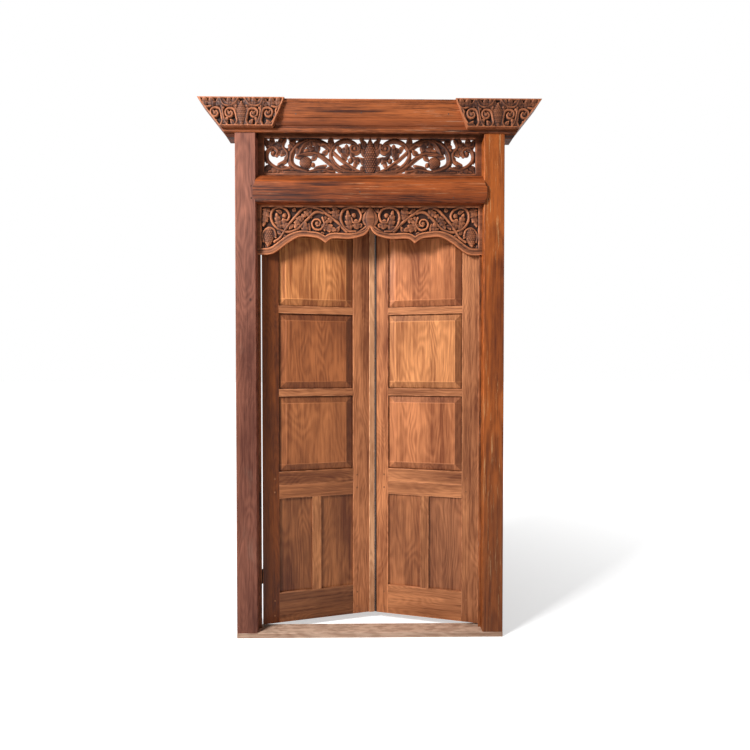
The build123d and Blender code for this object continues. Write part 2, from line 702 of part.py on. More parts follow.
def make_stile(u0, u1, inner, hinged):
    """Upright of a leaf, grooved along its inner edge and mortised for the rails"""
    stile = block(u0, u1, leaf_setback, leaf_back, leaf_foot_z, leaf_head_z)
    inward = -1 if inner == u1 else 1
    stile -= groove_u(inner - inward * overcut, inner + inward * groove_depth, leaf_foot_z - overcut,
                      leaf_head_z + overcut)
    for name in rail_names:
        z0, z1 = rows[name]
        stile -= groove_u(inner, inner + inward * (rail_tenon_length + joint_clearance),
                          z0 + rail_tenon_shoulder - joint_clearance,
                          z1 - rail_tenon_shoulder + joint_clearance)
    for u, z in peg_places():
        if u0 < u < u1:
            stile -= peg_hole(u, z, leaf_setback, peg_length)
    if hinged:
        reach = hinge_height / 2 + joint_clearance
        front = leaf_setback + hinge_plate_setback - joint_clearance
        for z in hinge_centres().values():
            stile -= block(-overcut, hinge_plate_thickness, front, leaf_back + overcut, z - reach, z + reach)
    return stile


def make_rail(name):
    z0, z1 = rows[name]
    rail = block(panel_u0 + joint_clearance, panel_u1 - joint_clearance, leaf_setback, leaf_back, z0, z1)
    above = name not in ("top_rail", "lower_lock_rail")
    below = name not in ("bottom_rail", "upper_lock_rail")
    if above:
        rail -= groove_u(panel_u0 - overcut, panel_u1 + overcut, z1 - groove_depth, z1 + overcut)
    if below:
        rail -= groove_u(panel_u0 - overcut, panel_u1 + overcut, z0 - overcut, z0 + groove_depth)
    rail += block(panel_u0 - rail_tenon_length, panel_u1 + rail_tenon_length, tongue_front, tongue_back,
                  z0 + rail_tenon_shoulder, z1 - rail_tenon_shoulder)
    mortise_half = muntin_width / 2 - rail_tenon_shoulder + joint_clearance
    mortise_deep = muntin_tenon_length + joint_clearance
    mortises = {"lower_lock_rail": (z0 - overcut, z0 + mortise_deep),
                "bottom_rail": (z1 - mortise_deep, z1 + overcut)}
    if name in mortises:
        rail -= groove_u(panel_middle - mortise_half, panel_middle + mortise_half, *mortises[name])
    for u, z in peg_places():
        if z0 < z < z1:
            rail -= peg_hole(u, z, leaf_setback, peg_length)
    return rail


def make_muntin():
    z0, z1 = rows["flat_panel"]
    u0, u1 = panel_middle - muntin_width / 2, panel_middle + muntin_width / 2
    muntin = block(u0, u1, leaf_setback, leaf_back, z0, z1)
    muntin -= groove_u(u0 - overcut, u0 + groove_depth, z0 - overcut, z1 + overcut)
    muntin -= groove_u(u1 - groove_depth, u1 + overcut, z0 - overcut, z1 + overcut)
    muntin += block(u0 + rail_tenon_shoulder, u1 - rail_tenon_shoulder, tongue_front, tongue_back,
                    z0 - muntin_tenon_length, z1 + muntin_tenon_length)
    return muntin


def make_raised_panel(name):
    """Fielded panel: bevels slope back from a raised field to a tongue in the grooves"""
    z0, z1 = rows[name]
    reach = groove_depth - tongue_end_gap
    panel = block(panel_u0 - reach, panel_u1 + reach, tongue_front, tongue_back, z0 - reach, z1 + reach)
    gap = panel_sight_gap
    panel += block(panel_u0 + gap, panel_u1 - gap, tongue_back, tongue_back + panel_back_thickness,
                   z0 + gap, z1 - gap)
    field = leaf_setback + panel_field_setback
    step = field + panel_step
    field_u0, field_u1 = panel_u0 + panel_bevel, panel_u1 - panel_bevel
    field_z0, field_z1 = z0 + panel_bevel, z1 - panel_bevel
    slopes = [(panel_u0 + gap, tongue_front), (field_u0, step), (field_u1, step),
              (panel_u1 - gap, tongue_front)]
    slants = [(tongue_front, z0 + gap), (step, field_z0), (step, field_z1), (tongue_front, z1 - gap)]
    panel += post_prism(slopes, z0, z1) & length_prism(slants, panel_u0, panel_u1)
    return panel + block(field_u0, field_u1, field, step, field_z0, field_z1)


def make_flat_panels():
    z0, z1 = rows["flat_panel"]
    reach = groove_depth - tongue_end_gap
    bays = {"hinge_side": (panel_u0, panel_middle - muntin_width / 2),
            "meeting_side": (panel_middle + muntin_width / 2, panel_u1)}
    return {side + "_flat_panel": block(u0 - reach, u1 + reach, tongue_front, tongue_back,
                                        z0 - reach, z1 + reach)
            for side, (u0, u1) in bays.items()}


def make_leaf_pegs():
    return Compound(children=[peg(u, z, leaf_setback, peg_length) for u, z in peg_places()])


def make_astragal(leaf_width):
    """Cover strip planted on the left leaf's meeting edge, its overhang relieved at the back"""
    u0, u1 = leaf_width + astragal_overhang - astragal_width, leaf_width + astragal_overhang
    front, arris = leaf_setback - astragal_thickness, astragal_arris
    section = [(u0, leaf_setback), (u0, front + arris), (u0 + arris, front), (u1 - arris, front),
               (u1, front + arris), (u1, leaf_setback - astragal_relief),
               (leaf_width, leaf_setback - astragal_relief), (leaf_width, leaf_setback)]
    return post_prism(section, leaf_foot_z, leaf_head_z - astragal_end_gap)


# Hinges
# The plate on the leaf is drawn in u like the rest of the leaf; the plate on the post too,
# with u = -gap at the post's face.

def knuckle_spans(own):
    """Heights from the hinge's foot of the knuckles of the post plate (own = 0) or leaf plate (own = 1)"""
    pitch = hinge_height / hinge_knuckles
    return [(i * pitch + knuckle_gap / 2, (i + 1) * pitch - knuckle_gap / 2)
            for i in range(hinge_knuckles) if i % 2 == own]


def make_plate(gap, centre_z, own):
    """Hinge plate with its knuckles: own = 1 on the leaf, own = 0 on the post"""
    towards = 1 if own else -1
    face = 0.0 if own else -gap
    seat = face + towards * hinge_plate_thickness
    u0, u1 = min(face, seat), max(face, seat)
    z0 = centre_z - hinge_height / 2
    front = leaf_setback + hinge_plate_setback
    plate = block(u0, u1, front, pin_depth - knuckle_radius - plate_run_out, z0, z0 + hinge_height)
    for foot, top in knuckle_spans(own):
        plate += block(u0, u1, front, pin_depth, z0 + foot, z0 + top)
        knuckle = Cylinder(knuckle_radius, top - foot)
        plate += Pos(-gap / 2, y_at(pin_depth), z0 + (foot + top) / 2) * knuckle
    bore = Cylinder(pin_radius + pin_clearance, hinge_height + 2 * overcut)
    return plate - Pos(-gap / 2, y_at(pin_depth), centre_z) * bore


def make_pin(gap, centre_z):
    return Pos(-gap / 2, y_at(pin_depth), centre_z) * Cylinder(pin_radius, hinge_height)


def to_left(solid):
    """From leaf coordinates to the left leaf's place, shut"""
    return Pos(left_edge_x, 0, 0) * solid


def to_right(solid):
    """From leaf coordinates to the right leaf's place, shut"""
    return mirror(Pos(-right_edge_x, 0, 0) * solid, about=Plane.YZ)


def swing(solid, pin_x, degrees):
    """Turn a shut leaf's piece about its hinge pins"""
    pin = (pin_x, y_at(pin_depth), 0)
    return Pos(*pin) * Rot(0, 0, degrees) * Pos(-pin[0], -pin[1], 0) * solid


def make_leaf(side):
    """Every piece of one leaf, by name, at its ajar place"""
    width = left_leaf_width if side == "left" else right_leaf_width
    gap = left_hinge_gap if side == "left" else right_hinge_gap
    pieces = {"hinge_stile": make_stile(0, panel_u0, panel_u0, True),
              "meeting_stile": make_stile(panel_u1, width, panel_u1, False),
              "muntin": make_muntin(), "pegs": make_leaf_pegs()}
    if side == "right":
        pieces["meeting_stile"] -= block(width - meeting_rebate_width, width + overcut,
                                         leaf_setback - overcut, leaf_setback + meeting_rebate_depth,
                                         leaf_foot_z - overcut, leaf_head_z + overcut)
    if side == "left":
        pieces["astragal"] = make_astragal(width)
    for name in rail_names:
        pieces[name] = make_rail(name)
    for name in ("upper_panel", "middle_panel", "lower_raised_panel"):
        pieces[name] = make_raised_panel(name)
    pieces.update(make_flat_panels())
    for place, z in hinge_centres().items():
        pieces[place + "_hinge_plate"] = make_plate(gap, z, 1)
    place, pin_x, turn = ((to_left, left_pin_x, left_ajar) if side == "left"
                          else (to_right, right_pin_x, -right_ajar))
    return {side + "_leaf_" + name: swing(place(solid), pin_x, turn) for name, solid in pieces.items()}


def hinge_recesses(gap):
    """Recesses that the post plates need, in leaf coordinates"""
    reach = hinge_height / 2 + joint_clearance
    front = leaf_setback + hinge_plate_setback - joint_clearance
    return [block(-gap - hinge_plate_thickness, -gap + overcut, front, frame_depth + overcut,
                  z - reach, z + reach) for z in hinge_centres().values()]


def build():
    nodes = {"threshold": make_threshold(), "head_beam": make_head_beam(),
             "crown_necking": make_necking(), "crown_cornice": make_cornice(),
             "transom_beam": make_transom_beam(), "transom_grille": make_grille(), "valance": make_valance(),
             "left_stop_bead": make_stop(-1), "right_stop_bead": make_stop(1),
             "frame_pegs": make_frame_pegs()}
    corner = make_corner_block()
    nodes["right_crown_block"] = corner
    nodes["left_crown_block"] = mirrored(corner)
    post = make_post()
    nodes["right_post"] = post.cut(*[to_right(cut) for cut in hinge_recesses(right_hinge_gap)])
    nodes["left_post"] = mirrored(post).cut(*[to_left(cut) for cut in hinge_recesses(left_hinge_gap)])
    for side, gap, place in (("left", left_hinge_gap, to_left), ("right", right_hinge_gap, to_right)):
        for level, z in hinge_centres().items():
            nodes[f"{side}_post_{level}_hinge_plate"] = place(make_plate(gap, z, 0))
            nodes[f"{side}_{level}_hinge_pin"] = place(make_pin(gap, z))
    nodes.update(make_leaf("left"))
    nodes.update(make_leaf("right"))
    return nodes


os.makedirs("parts", exist_ok=True)
for node, shape in build().items():
    export_step(shape, f"parts/{node}.step")
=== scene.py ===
import json
from math import cos, hypot, pi, radians, sin

import bmesh
import bpy
import numpy as np
from bpy.props import FloatProperty, FloatVectorProperty, PointerProperty
from mathutils import Euler, Matrix, Vector
from mathutils.bvhtree import BVHTree


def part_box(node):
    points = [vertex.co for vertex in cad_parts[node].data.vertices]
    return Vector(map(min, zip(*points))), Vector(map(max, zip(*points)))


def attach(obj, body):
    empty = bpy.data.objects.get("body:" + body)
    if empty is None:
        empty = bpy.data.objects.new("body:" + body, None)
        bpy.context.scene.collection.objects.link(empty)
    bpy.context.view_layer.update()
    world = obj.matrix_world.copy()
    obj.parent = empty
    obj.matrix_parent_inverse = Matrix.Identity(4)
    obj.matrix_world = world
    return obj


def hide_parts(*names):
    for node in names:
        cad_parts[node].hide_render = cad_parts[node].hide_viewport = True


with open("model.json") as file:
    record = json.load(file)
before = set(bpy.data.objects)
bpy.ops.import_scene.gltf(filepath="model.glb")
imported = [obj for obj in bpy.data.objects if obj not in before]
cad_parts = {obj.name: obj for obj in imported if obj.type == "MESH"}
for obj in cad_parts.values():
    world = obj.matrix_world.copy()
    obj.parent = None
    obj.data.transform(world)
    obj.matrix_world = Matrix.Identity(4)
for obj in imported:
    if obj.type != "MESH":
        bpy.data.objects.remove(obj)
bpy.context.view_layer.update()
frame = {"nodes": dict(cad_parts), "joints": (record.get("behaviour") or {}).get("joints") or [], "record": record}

bl_info = {
    "name": "Carved temple door",
    "version": (1, 0, 0),
    "blender": (4, 5, 0),
    "location": "View3D > Sidebar > Temple door",
    "description": "Dresses the packed model of a carved double-leaf door with wood, carving and ironwork",
    "category": "Object",
}

mm = 0.001
nodes = frame["nodes"]


def first_angle(body):
    """Where the travel of a leaf's hinge starts, seen from how the leaf stands at rest"""
    return radians(next(joint for joint in frame["joints"] if joint["child"] == body)["range_deg"][0])


# How far each leaf is turned from closed at rest, anticlockwise from above
leaf_turn = {"left_leaf": -first_angle("left_leaf"), "right_leaf": first_angle("right_leaf")}


# Settings

class DoorStageSettings(bpy.types.PropertyGroup):
    """Camera and light of the picture"""
    lens: FloatProperty(name="Lens", description="Focal length on a 36 mm sensor", default=23.38,
                        subtype="DISTANCE_CAMERA")
    camera_place: FloatVectorProperty(name="Camera place", description="Where the camera stands", size=3,
                                      default=(-0.007, -2.515, 1.388), subtype="XYZ", unit="LENGTH")
    yaw: FloatProperty(name="Turn to the right", description="From square on to the door",
                       default=radians(0.72), subtype="ANGLE")
    pitch: FloatProperty(name="Tilt down", description="From level", default=radians(1.0), subtype="ANGLE")
    key_place: FloatVectorProperty(name="Key lamp place", description="Large lamp at the left", size=3,
                                   default=(-2.95, -2.60, 3.7), subtype="XYZ", unit="LENGTH")
    key_size: FloatProperty(name="Key lamp size", description="Side of the square lamp", default=1.1,
                            unit="LENGTH")
    key_power: FloatProperty(name="Key lamp power", description="Power of the large lamp at the left",
                             default=300.0, min=0.0, unit="POWER")
    fill_power: FloatProperty(name="Fill lamp power", description="Power of the lamp in front at the right",
                              default=9.0, min=0.0, unit="POWER")
    sky: FloatProperty(name="Sky", description="Strength of the even light from all round", default=0.15,
                       min=0.0)


# The darkest grain or hollow and the palest wear of each kind of wood; the carving's pair also paints shade in its
# hollows and light on its high places
wood_colours = {
    "frame": ("Beams and crown", (0.055, 0.014, 0.005), (0.54, 0.185, 0.060)),
    "left": ("Left post", (0.105, 0.032, 0.019), (0.38, 0.17, 0.12)),
    "right": ("Right post", (0.12, 0.028, 0.006), (0.50, 0.17, 0.055)),
    "leaf": ("Stiles and rails", (0.13, 0.034, 0.011), (0.54, 0.21, 0.085)),
    "panel": ("Panels", (0.17, 0.045, 0.013), (0.66, 0.27, 0.10)),
    "raw": ("Sill and cover strip", (0.30, 0.15, 0.08), (0.68, 0.46, 0.31)),
    "carved": ("Carving", (0.035, 0.010, 0.005), (0.42, 0.15, 0.065)),
}


class DoorWoodSettings(bpy.types.PropertyGroup):
    """A dark and a light colour for each kind of wood"""
    __annotations__ = {
        f"{prefix}_{end}": FloatVectorProperty(name=f"{part}, {end}", description=f"{part}: the {end} colour",
                                               default=value, size=3, subtype="COLOR", min=0.0, max=1.0)
        for prefix, (part, *pair) in wood_colours.items() for end, value in zip(("dark", "light"), pair)}


class DoorCarvingSettings(bpy.types.PropertyGroup):
    """Size of the carving's steps"""
    cell: FloatProperty(name="Cell", description="Spacing of the points of a carved face", default=1.8 * mm,
                        min=1.0 * mm, max=6.0 * mm, unit="LENGTH")
    grille_cell: FloatProperty(name="Grille cell", description="Spacing of the points of the pierced grille",
                               default=2.2 * mm, min=1.5 * mm, max=6.0 * mm, unit="LENGTH")


# Shader maths

class Signal:
    """A socket that varies over a surface. An expression on it adds the Math nodes that it needs."""

    def __init__(self, graph, socket):
        self.graph = graph
        self.socket = socket

    def maths(self, operation, *values, clamp=False):
        """Math node on sockets and numbers"""
        return self.graph.node("ShaderNodeMath", {"operation": operation, "use_clamp": clamp},
                               dict(enumerate(values)))

    def __add__(self, other):
        return self.maths("ADD", self, other)

    __radd__ = __add__

    def __sub__(self, other):
        return self.maths("SUBTRACT", self, other)

    def __rsub__(self, other):
        return self.maths("SUBTRACT", other, self)

    def __mul__(self, other):
        return self.maths("MULTIPLY", self, other)

    __rmul__ = __mul__

    def __pow__(self, other):
        return self.maths("POWER", self, other)

    def __rpow__(self, other):
        return self.maths("POWER", other, self)

    def __abs__(self):
        return self.maths("ABSOLUTE", self)

    def least(self, other):
        return self.maths("MINIMUM", self, other)

    def most(self, other):
        return self.maths("MAXIMUM", self, other)

    def sine(self):
        return self.maths("SINE", self)

    def clamped(self):
        return self.maths("ADD", self, 0.0, clamp=True)

    def step(self, low, high):
        """0 below low and 1 above high, smooth between; a low above high turns it round"""
        return self.graph.node("ShaderNodeMapRange", {"interpolation_type": "SMOOTHSTEP"},
                               {"Value": self, "From Min": low, "From Max": high})


class Graph:
    """The nodes of a material or of the sky, and the one way that they are added"""

    def __init__(self, tree):
        self.tree = tree

    def node(self, kind, settings=None, inputs=None, output=0):
        """Adds a node, sets it up, joins or fills its sockets, and gives one of its outputs"""
        node = self.tree.nodes.new(kind)
        for key, value in (settings or {}).items():
            setattr(node, key, value)
        self.fill(node, inputs or {})
        return Signal(self, node.outputs[output])

    def fill(self, node, inputs):
        """Joins or fills sockets of a node"""
        for key, value in inputs.items():
            if isinstance(value, Signal):
                self.tree.links.new(value.socket, node.inputs[key])
            else:
                node.inputs[key].default_value = value

    def seen(self):
        """1 where the camera looks, or gloss or glass does, and 0 for light on its way to a surface"""
        camera, gloss, glass = (self.node("ShaderNodeLightPath", output=f"Is {ray} Ray")
                                for ray in ("Camera", "Glossy", "Transmission"))
        return camera.most(gloss).most(glass)


class Paint(Graph):
    """A material and the textures that colour it"""

    def __init__(self, name):
        self.material = bpy.data.materials.new(name)
        self.material.use_nodes = True
        super().__init__(self.material.node_tree)
        self.shader = self.tree.nodes["Principled BSDF"]
        self.shader.inputs["Specular IOR Level"].default_value = 0.22

    def attribute(self, name, output="Fac"):
        """Measure that a mesh carries under a name"""
        return self.node("ShaderNodeAttribute", {"attribute_name": name}, output=output)

    def axes(self, vector):
        """The three numbers of a vector"""
        split = self.node("ShaderNodeSeparateXYZ", {}, {"Vector": vector}).socket.node
        return [Signal(self, out) for out in split.outputs]

    def vector(self, x, y, z):
        """Vector of three numbers"""
        return self.node("ShaderNodeCombineXYZ", {}, {"X": x, "Y": y, "Z": z})

    def noise(self, vector, scale, detail=3.0, roughness=0.5):
        """Cloudy texture around 0.5"""
        sockets = {"Vector": vector, "Scale": scale, "Detail": detail, "Roughness": roughness}
        return self.node("ShaderNodeTexNoise", {}, sockets, "Fac")

    def mix(self, share, first, second, blend="MIX"):
        """Blend of two colours"""
        return self.node("ShaderNodeMix", {"data_type": "RGBA", "blend_type": blend, "clamp_factor": True},
                         {0: share, 6: first, 7: second}, 2)

    def finish(self, base, roughness, height, depth):
        """Joins colour, roughness and a bump to the shader"""
        sockets = {"Strength": 1.0, "Distance": depth, "Height": height}
        bump = self.node("ShaderNodeBump", {}, sockets, "Normal")
        self.fill(self.shader, {"Base Color": base, "Roughness": roughness, "Normal": bump})
        return self.material


def rgba(values, share=1.0, lift=0.0):
    """Colour for a socket, made darker or paler by a share and a lift"""
    return (*(min(1.0, value * share + lift) for value in values), 1.0)


# Materials

class BoardPaint(Paint):
    """Paint for a kind of wood, which reads the measures of each board

    They are the place across, deep and along the board in "board", its whole size in "span", a number that
    sets it apart in "seed", how far in from its edges a raised field starts in "inset", where a second board
    is joined on beside it in "joint", and how wide a rebate along its edge is in "rebate".
    """

    def __init__(self, name, dark, light):
        super().__init__(name)
        self.dark = dark
        self.light = light
        self.across, self.deep, self.along = self.axes(self.attribute("board", "Vector"))
        self.wide, _, self.long = self.axes(self.attribute("span", "Vector"))
        self.seed, self.inset, self.joint, self.rebate = (
            self.attribute(measure) for measure in ("seed", "inset", "joint", "rebate"))
        self.second = (self.across - self.joint).step(0.0, 0.4 * mm)
        self.shift = self.seed * 7.3 + self.second * 1.7
        self.slow = self.drawn_out(0.35)
        self.drawn = self.drawn_out(0.04)
        self.ripple = self.noise(self.slow, 22.0, 3.0) - 0.5
        self.patch = self.noise(self.slow, 5.0, 4.0, 0.6)

    def drawn_out(self, share):
        """Place for a texture that is stretched along the board"""
        return self.vector(self.across + self.shift, self.deep + self.seed, self.along * share + self.shift)

    def darkened(self, base, share, depth):
        """A colour mixed with the dark grain, which is made darker still by a depth"""
        return self.mix(share, base, rgba(self.dark, depth))

    def growth(self, ring, swirl, contours):
        """Growth rings: arches where the pith lies near the face, mixed with wavy contours"""
        sway = self.noise(self.slow, 5.0, 2.0) - 0.5
        pith = self.across - self.wide * (0.3 + 0.4 * (self.seed * 5.7).sine()) + sway * (0.05 * swirl)
        depth = self.deep + 0.03 + self.along * 0.03 + self.ripple * (0.012 * swirl) + sway * (0.04 * swirl)
        radius = (pith * pith + depth * depth) ** 0.5
        rings = (radius * (2 * pi / ring)).sine() * 0.5 + 0.5
        bowl = self.noise(self.drawn_out(0.22), 6.0, 2.0, 0.45)
        contour = ((bowl + self.ripple * 0.02) * (1.3 / ring)).sine() * 0.5 + 0.5
        return rings * (1.0 - contours) + contour * contours

    def worn_edges(self, base):
        """Rubs the edges, and paints shade on the bevels of a raised panel, most on its right bevel, and in the
        recess where it enters its frame
        """
        side = self.across.least(self.wide - self.across)
        end = self.along.least(self.long - self.along)
        edge = side.least(end)
        framed = (self.inset * (1.0 / mm)).clamped()
        rubbed = self.noise(self.slow, 60.0, 3.0)
        arris = abs(side - self.inset).least(abs(end - self.inset) + (1.0 - framed)).step(6.0 * mm, 0.0)
        worn = arris * (rubbed + framed * 0.3).step(0.38, 0.62)
        base = self.mix(worn * (0.5 - framed * 0.22), base, rgba(self.light, 1.5, 0.03))
        # painted shade on the bevels of a raised panel: a little on the left bevel, more on the top and bottom
        # ones, most on the right one
        bevel = (self.inset - edge).step(0.0, 1.0 * mm) * framed
        not_left = (self.across - edge).step(0.0, 1.5 * mm)
        right = (self.wide - self.across - edge).step(1.5 * mm, 0.0)
        bevel_shade = bevel * (0.12 + not_left * 0.30 + right * 0.30)
        base = self.darkened(base, bevel_shade * (0.7 + rubbed * 0.6), 0.5)
        # painted shade in the recess where a panel enters its frame
        frame_shade = edge.step(17.0 * mm, 10.0 * mm) * framed
        return self.darkened(base, frame_shade * (0.35 + rubbed * 0.9), 0.2)


def wood(name, dark, light, ring=6.0 * mm, swirl=1.0, contours=0.0, streaks=1.0, gloss=0.5, grey=0.0,
         specks=0.0, foot=0.0, under=0.0):
    """Oiled old wood: growth rings, streaks, fibres and pores along the board, knots, rubbed edges and painted
    shade

    Ring is the rings' spacing, gloss the roughness, and the others are shares: of swirl, contours and streaks
    in the grain, of a grey bloom, of pale scratches, of the dark at a post's foot, and of painted shade low on a
    level board.
    """
    paint = BoardPaint(name, dark, light)
    across, along, patch = paint.across, paint.along, paint.patch
    lines = paint.growth(ring, swirl, contours)
    streak = paint.noise(paint.drawn, 70.0, 5.0, 0.65)
    broad = paint.noise(paint.drawn, 9.0, 3.0, 0.6)
    thread = paint.drawn_out(0.02)
    fibre = paint.noise(thread, 260.0, 3.0, 0.7)
    pores = paint.noise(thread, 520.0, 1.0, 0.5).step(0.60, 0.72)
    tone = (0.5 + (streak - 0.5) * (1.1 * streaks) + (broad - 0.5) * (1.3 * streaks) + (patch - 0.5) * 1.9
            + (lines - 0.5) * 0.42 * patch.step(0.3, 0.6) + (fibre - 0.5) * 1.1 + paint.second * 0.12)
    base = paint.mix(tone.clamped(), rgba(dark), rgba(light))
    base = paint.darkened(base, pores * 0.45, 0.35)
    base = paint.darkened(base, abs(across - paint.joint).step(1.2 * mm, 0.3 * mm) * 0.8, 0.3)
    base = paint.worn_edges(base)
    place = paint.vector(across + paint.shift, paint.seed, along * 0.7 + paint.shift)
    knot = paint.node("ShaderNodeTexVoronoi", {}, {"Vector": place, "Scale": 3.4}, "Distance")
    base = paint.darkened(base, (knot + paint.ripple * 0.02).step(0.034, 0.012) * 0.8, 0.25)
    # painted shade: a rebate along the edge is darkened almost to black, standing for its shade behind the cover
    # strip
    rebate_shade = (paint.rebate - across).step(-0.2 * mm, 0.2 * mm) * (paint.rebate * (1.0 / mm)).clamped()
    base = paint.darkened(base, rebate_shade * 0.96, 0.08)
    if specks:
        scratches = paint.noise(paint.drawn, 120.0, 5.0, 0.75).step(0.57, 0.65) * patch.step(0.45, 0.58)
        base = paint.mix(scratches * specks, base, (0.80, 0.56, 0.40, 1.0))
    if foot:
        low = (along + (patch - 0.5) * 0.6).step(1.5, 0.25)
        base = paint.mix(low * foot, base, (0.42, 0.45, 0.55, 1.0), "MULTIPLY")
    # painted shade: the lowest 15 to 85 mm of a level board is darkened, as in the shade under the crown and the
    # beams
    if under:
        low = (across + (patch - 0.5) * 0.03).step(85.0 * mm, 15.0 * mm)
        base = paint.mix(low * under, base, (0.42, 0.35, 0.34, 1.0), "MULTIPLY")
    if grey:
        bloom = paint.noise(paint.slow, 9.0, 4.0, 0.65).step(0.56, 0.78)
        base = paint.mix(bloom * grey, base, (0.46, 0.36, 0.31, 1.0))
    base = paint.mix(1.0, base, paint.attribute("tint", "Color"), "MULTIPLY")
    roughness = gloss + (patch - 0.5) * 0.25 + (fibre - 0.5) * 0.2 + pores * 0.15
    height = lines * 0.35 + fibre * 0.5 + streak * 0.6 - pores * 0.8
    return paint.finish(base, roughness.clamped(), height, 0.35 * mm)


def carved_wood(name, dark, light):
    """Oiled carving, toned by "relief": dark in the hollows, partly patina and partly painted shade, and pale on
    the high places, partly rubbed wear and partly painted light
    """
    paint = Paint(name)
    place = paint.attribute("board", "Vector")
    across, deep, along = paint.axes(place)
    relief = paint.attribute("relief")
    patch = paint.noise(place, 14.0, 4.0, 0.6)
    drawn = paint.vector(across, deep, along * 0.12)
    streak = paint.noise(drawn, 60.0, 4.0, 0.6)
    fibre = paint.noise(drawn, 420.0, 2.0, 0.6)
    # tone rises with the relief: the dark hollows are partly patina and partly painted shade, and the pale high
    # places partly painted light
    tone = (relief * 1.9 - 0.42) + (patch - 0.5) * 0.9 + (streak - 0.5) * 0.9 + (fibre - 0.5) * 0.35
    base = paint.mix(tone.clamped(), rgba(dark), rgba(light))
    # painted shade: the deepest hollows, the valance's closed ground among them, go near black
    base = paint.mix(relief.step(0.22, 0.02) * 0.8, base, rgba(dark, 0.3))
    rubbed = relief.step(0.72, 1.0) * patch.step(0.45, 0.62)
    base = paint.mix(rubbed * 0.4, base, rgba(light, 1.45, 0.02))
    base = paint.mix(1.0, base, paint.attribute("tint", "Color"), "MULTIPLY")
    tool_marks = paint.noise(place, 130.0, 2.0, 0.5)
    height = tool_marks * 0.8 + fibre * 0.3 + streak * 0.3
    roughness = 0.46 + (patch - 0.5) * 0.3 + (1.0 - relief) * 0.2
    return paint.finish(base, roughness.clamped(), height, 0.4 * mm)


def hinge_steel(name):
    """Old blackened steel with rust freckles and rubbed places"""
    paint = Paint(name)
    place = paint.node("ShaderNodeTexCoord", output="Object")
    clouds = paint.noise(place, 60.0, 4.0, 0.6)
    freckles = paint.noise(place, 420.0, 3.0, 0.6).step(0.52, 0.68)
    base = paint.mix(clouds, (0.030, 0.026, 0.024, 1.0), (0.10, 0.085, 0.075, 1.0))
    base = paint.mix(freckles * 0.7, base, (0.11, 0.040, 0.016, 1.0))
    paint.shader.inputs["Metallic"].default_value = 0.6
    paint.shader.inputs["Specular IOR Level"].default_value = 0.5
    return paint.finish(base, 0.42 + freckles * 0.35 + (clouds - 0.5) * 0.2, clouds * 0.4 + freckles * 0.6,
                        0.2 * mm)


# What makes the finish of each slot, which pair of colours it takes, and its shares
finishes = {
    "hinge_steel": (hinge_steel, None, {}),
    "carved_wood": (carved_wood, "carved", {}),
    "frame_wood": (wood, "frame", {"streaks": 2.3, "contours": 0.3, "specks": 0.6, "under": 0.75}),
    "left_post_wood": (wood, "left", {"ring": 7.0 * mm, "swirl": 1.4, "contours": 0.7, "grey": 0.25,
                                      "gloss": 0.55, "foot": 0.2}),
    "right_post_wood": (wood, "right", {"ring": 13.0 * mm, "swirl": 1.2, "streaks": 1.5, "specks": 0.7,
                                        "gloss": 0.42, "foot": 0.75}),
    "leaf_wood": (wood, "leaf", {"streaks": 1.3, "contours": 0.5}),
    "panel_wood": (wood, "panel", {"ring": 9.0 * mm, "swirl": 1.6, "contours": 0.8, "gloss": 0.45}),
    "raw_wood": (wood, "raw", {"streaks": 0.8, "gloss": 0.65}),
}
materials = {}


def material(name):
    """The finish of a slot, made when it is first asked for"""
    if name not in materials:
        make, prefix, shares = finishes[name]
        colours = bpy.context.scene.temple_door_wood
        pair = [getattr(colours, f"{prefix}_{end}") for end in ("dark", "light")] if prefix else []
        materials[name] = make(name, *pair, **shares)
    return materials[name]


# Boards

no_joint = 9.0  # a place across that no board reaches, in metres
plain_tint = (1.0, 1.0, 1.0)


def board_turn(node):
    """Turn that takes a node's leaf back to square, or none"""
    for body, angle in leaf_turn.items():
        if node.startswith(body + "_"):
            return Matrix.Rotation(-angle, 3, "Z")
    return Matrix.Identity(3)


def slot_of(node):
    """Material slot that the record gives a node"""
    return next(part["material_slot"] for part in frame["record"]["subparts"] if part["node"] == node)


def body_of(node):
    """Body that a node moves with"""
    return next(body for body, members in frame["record"]["behaviour"]["bodies"].items() if node in members)


def merged_copy(node):
    """Bmesh of a node with its loose triangles joined and its flat faces whole"""
    bm = bmesh.new()
    bm.from_mesh(nodes[node].data)
    bmesh.ops.remove_doubles(bm, verts=bm.verts, dist=0.02 * mm)
    bmesh.ops.dissolve_limit(bm, angle_limit=radians(0.5), use_dissolve_boundaries=False, verts=bm.verts,
                             edges=bm.edges, delimit=set())
    for face in bm.faces:
        face.smooth = False
    return bm


def smooth_rounds(bm, angle):
    """Shades a mesh smooth, but for edges sharper than an angle"""
    for face in bm.faces:
        face.smooth = True
    for edge in bm.edges:
        edge.smooth = edge.is_manifold and edge.calc_face_angle() < angle


def bevel(bm, edges, offset, segments=2):
    """Rounds some edges off, and gives the new faces"""
    return bmesh.ops.bevel(bm, geom=edges, offset=offset, offset_type="OFFSET", segments=segments,
                           profile=0.5, affect="EDGES", clamp_overlap=True, material=-1)["faces"]


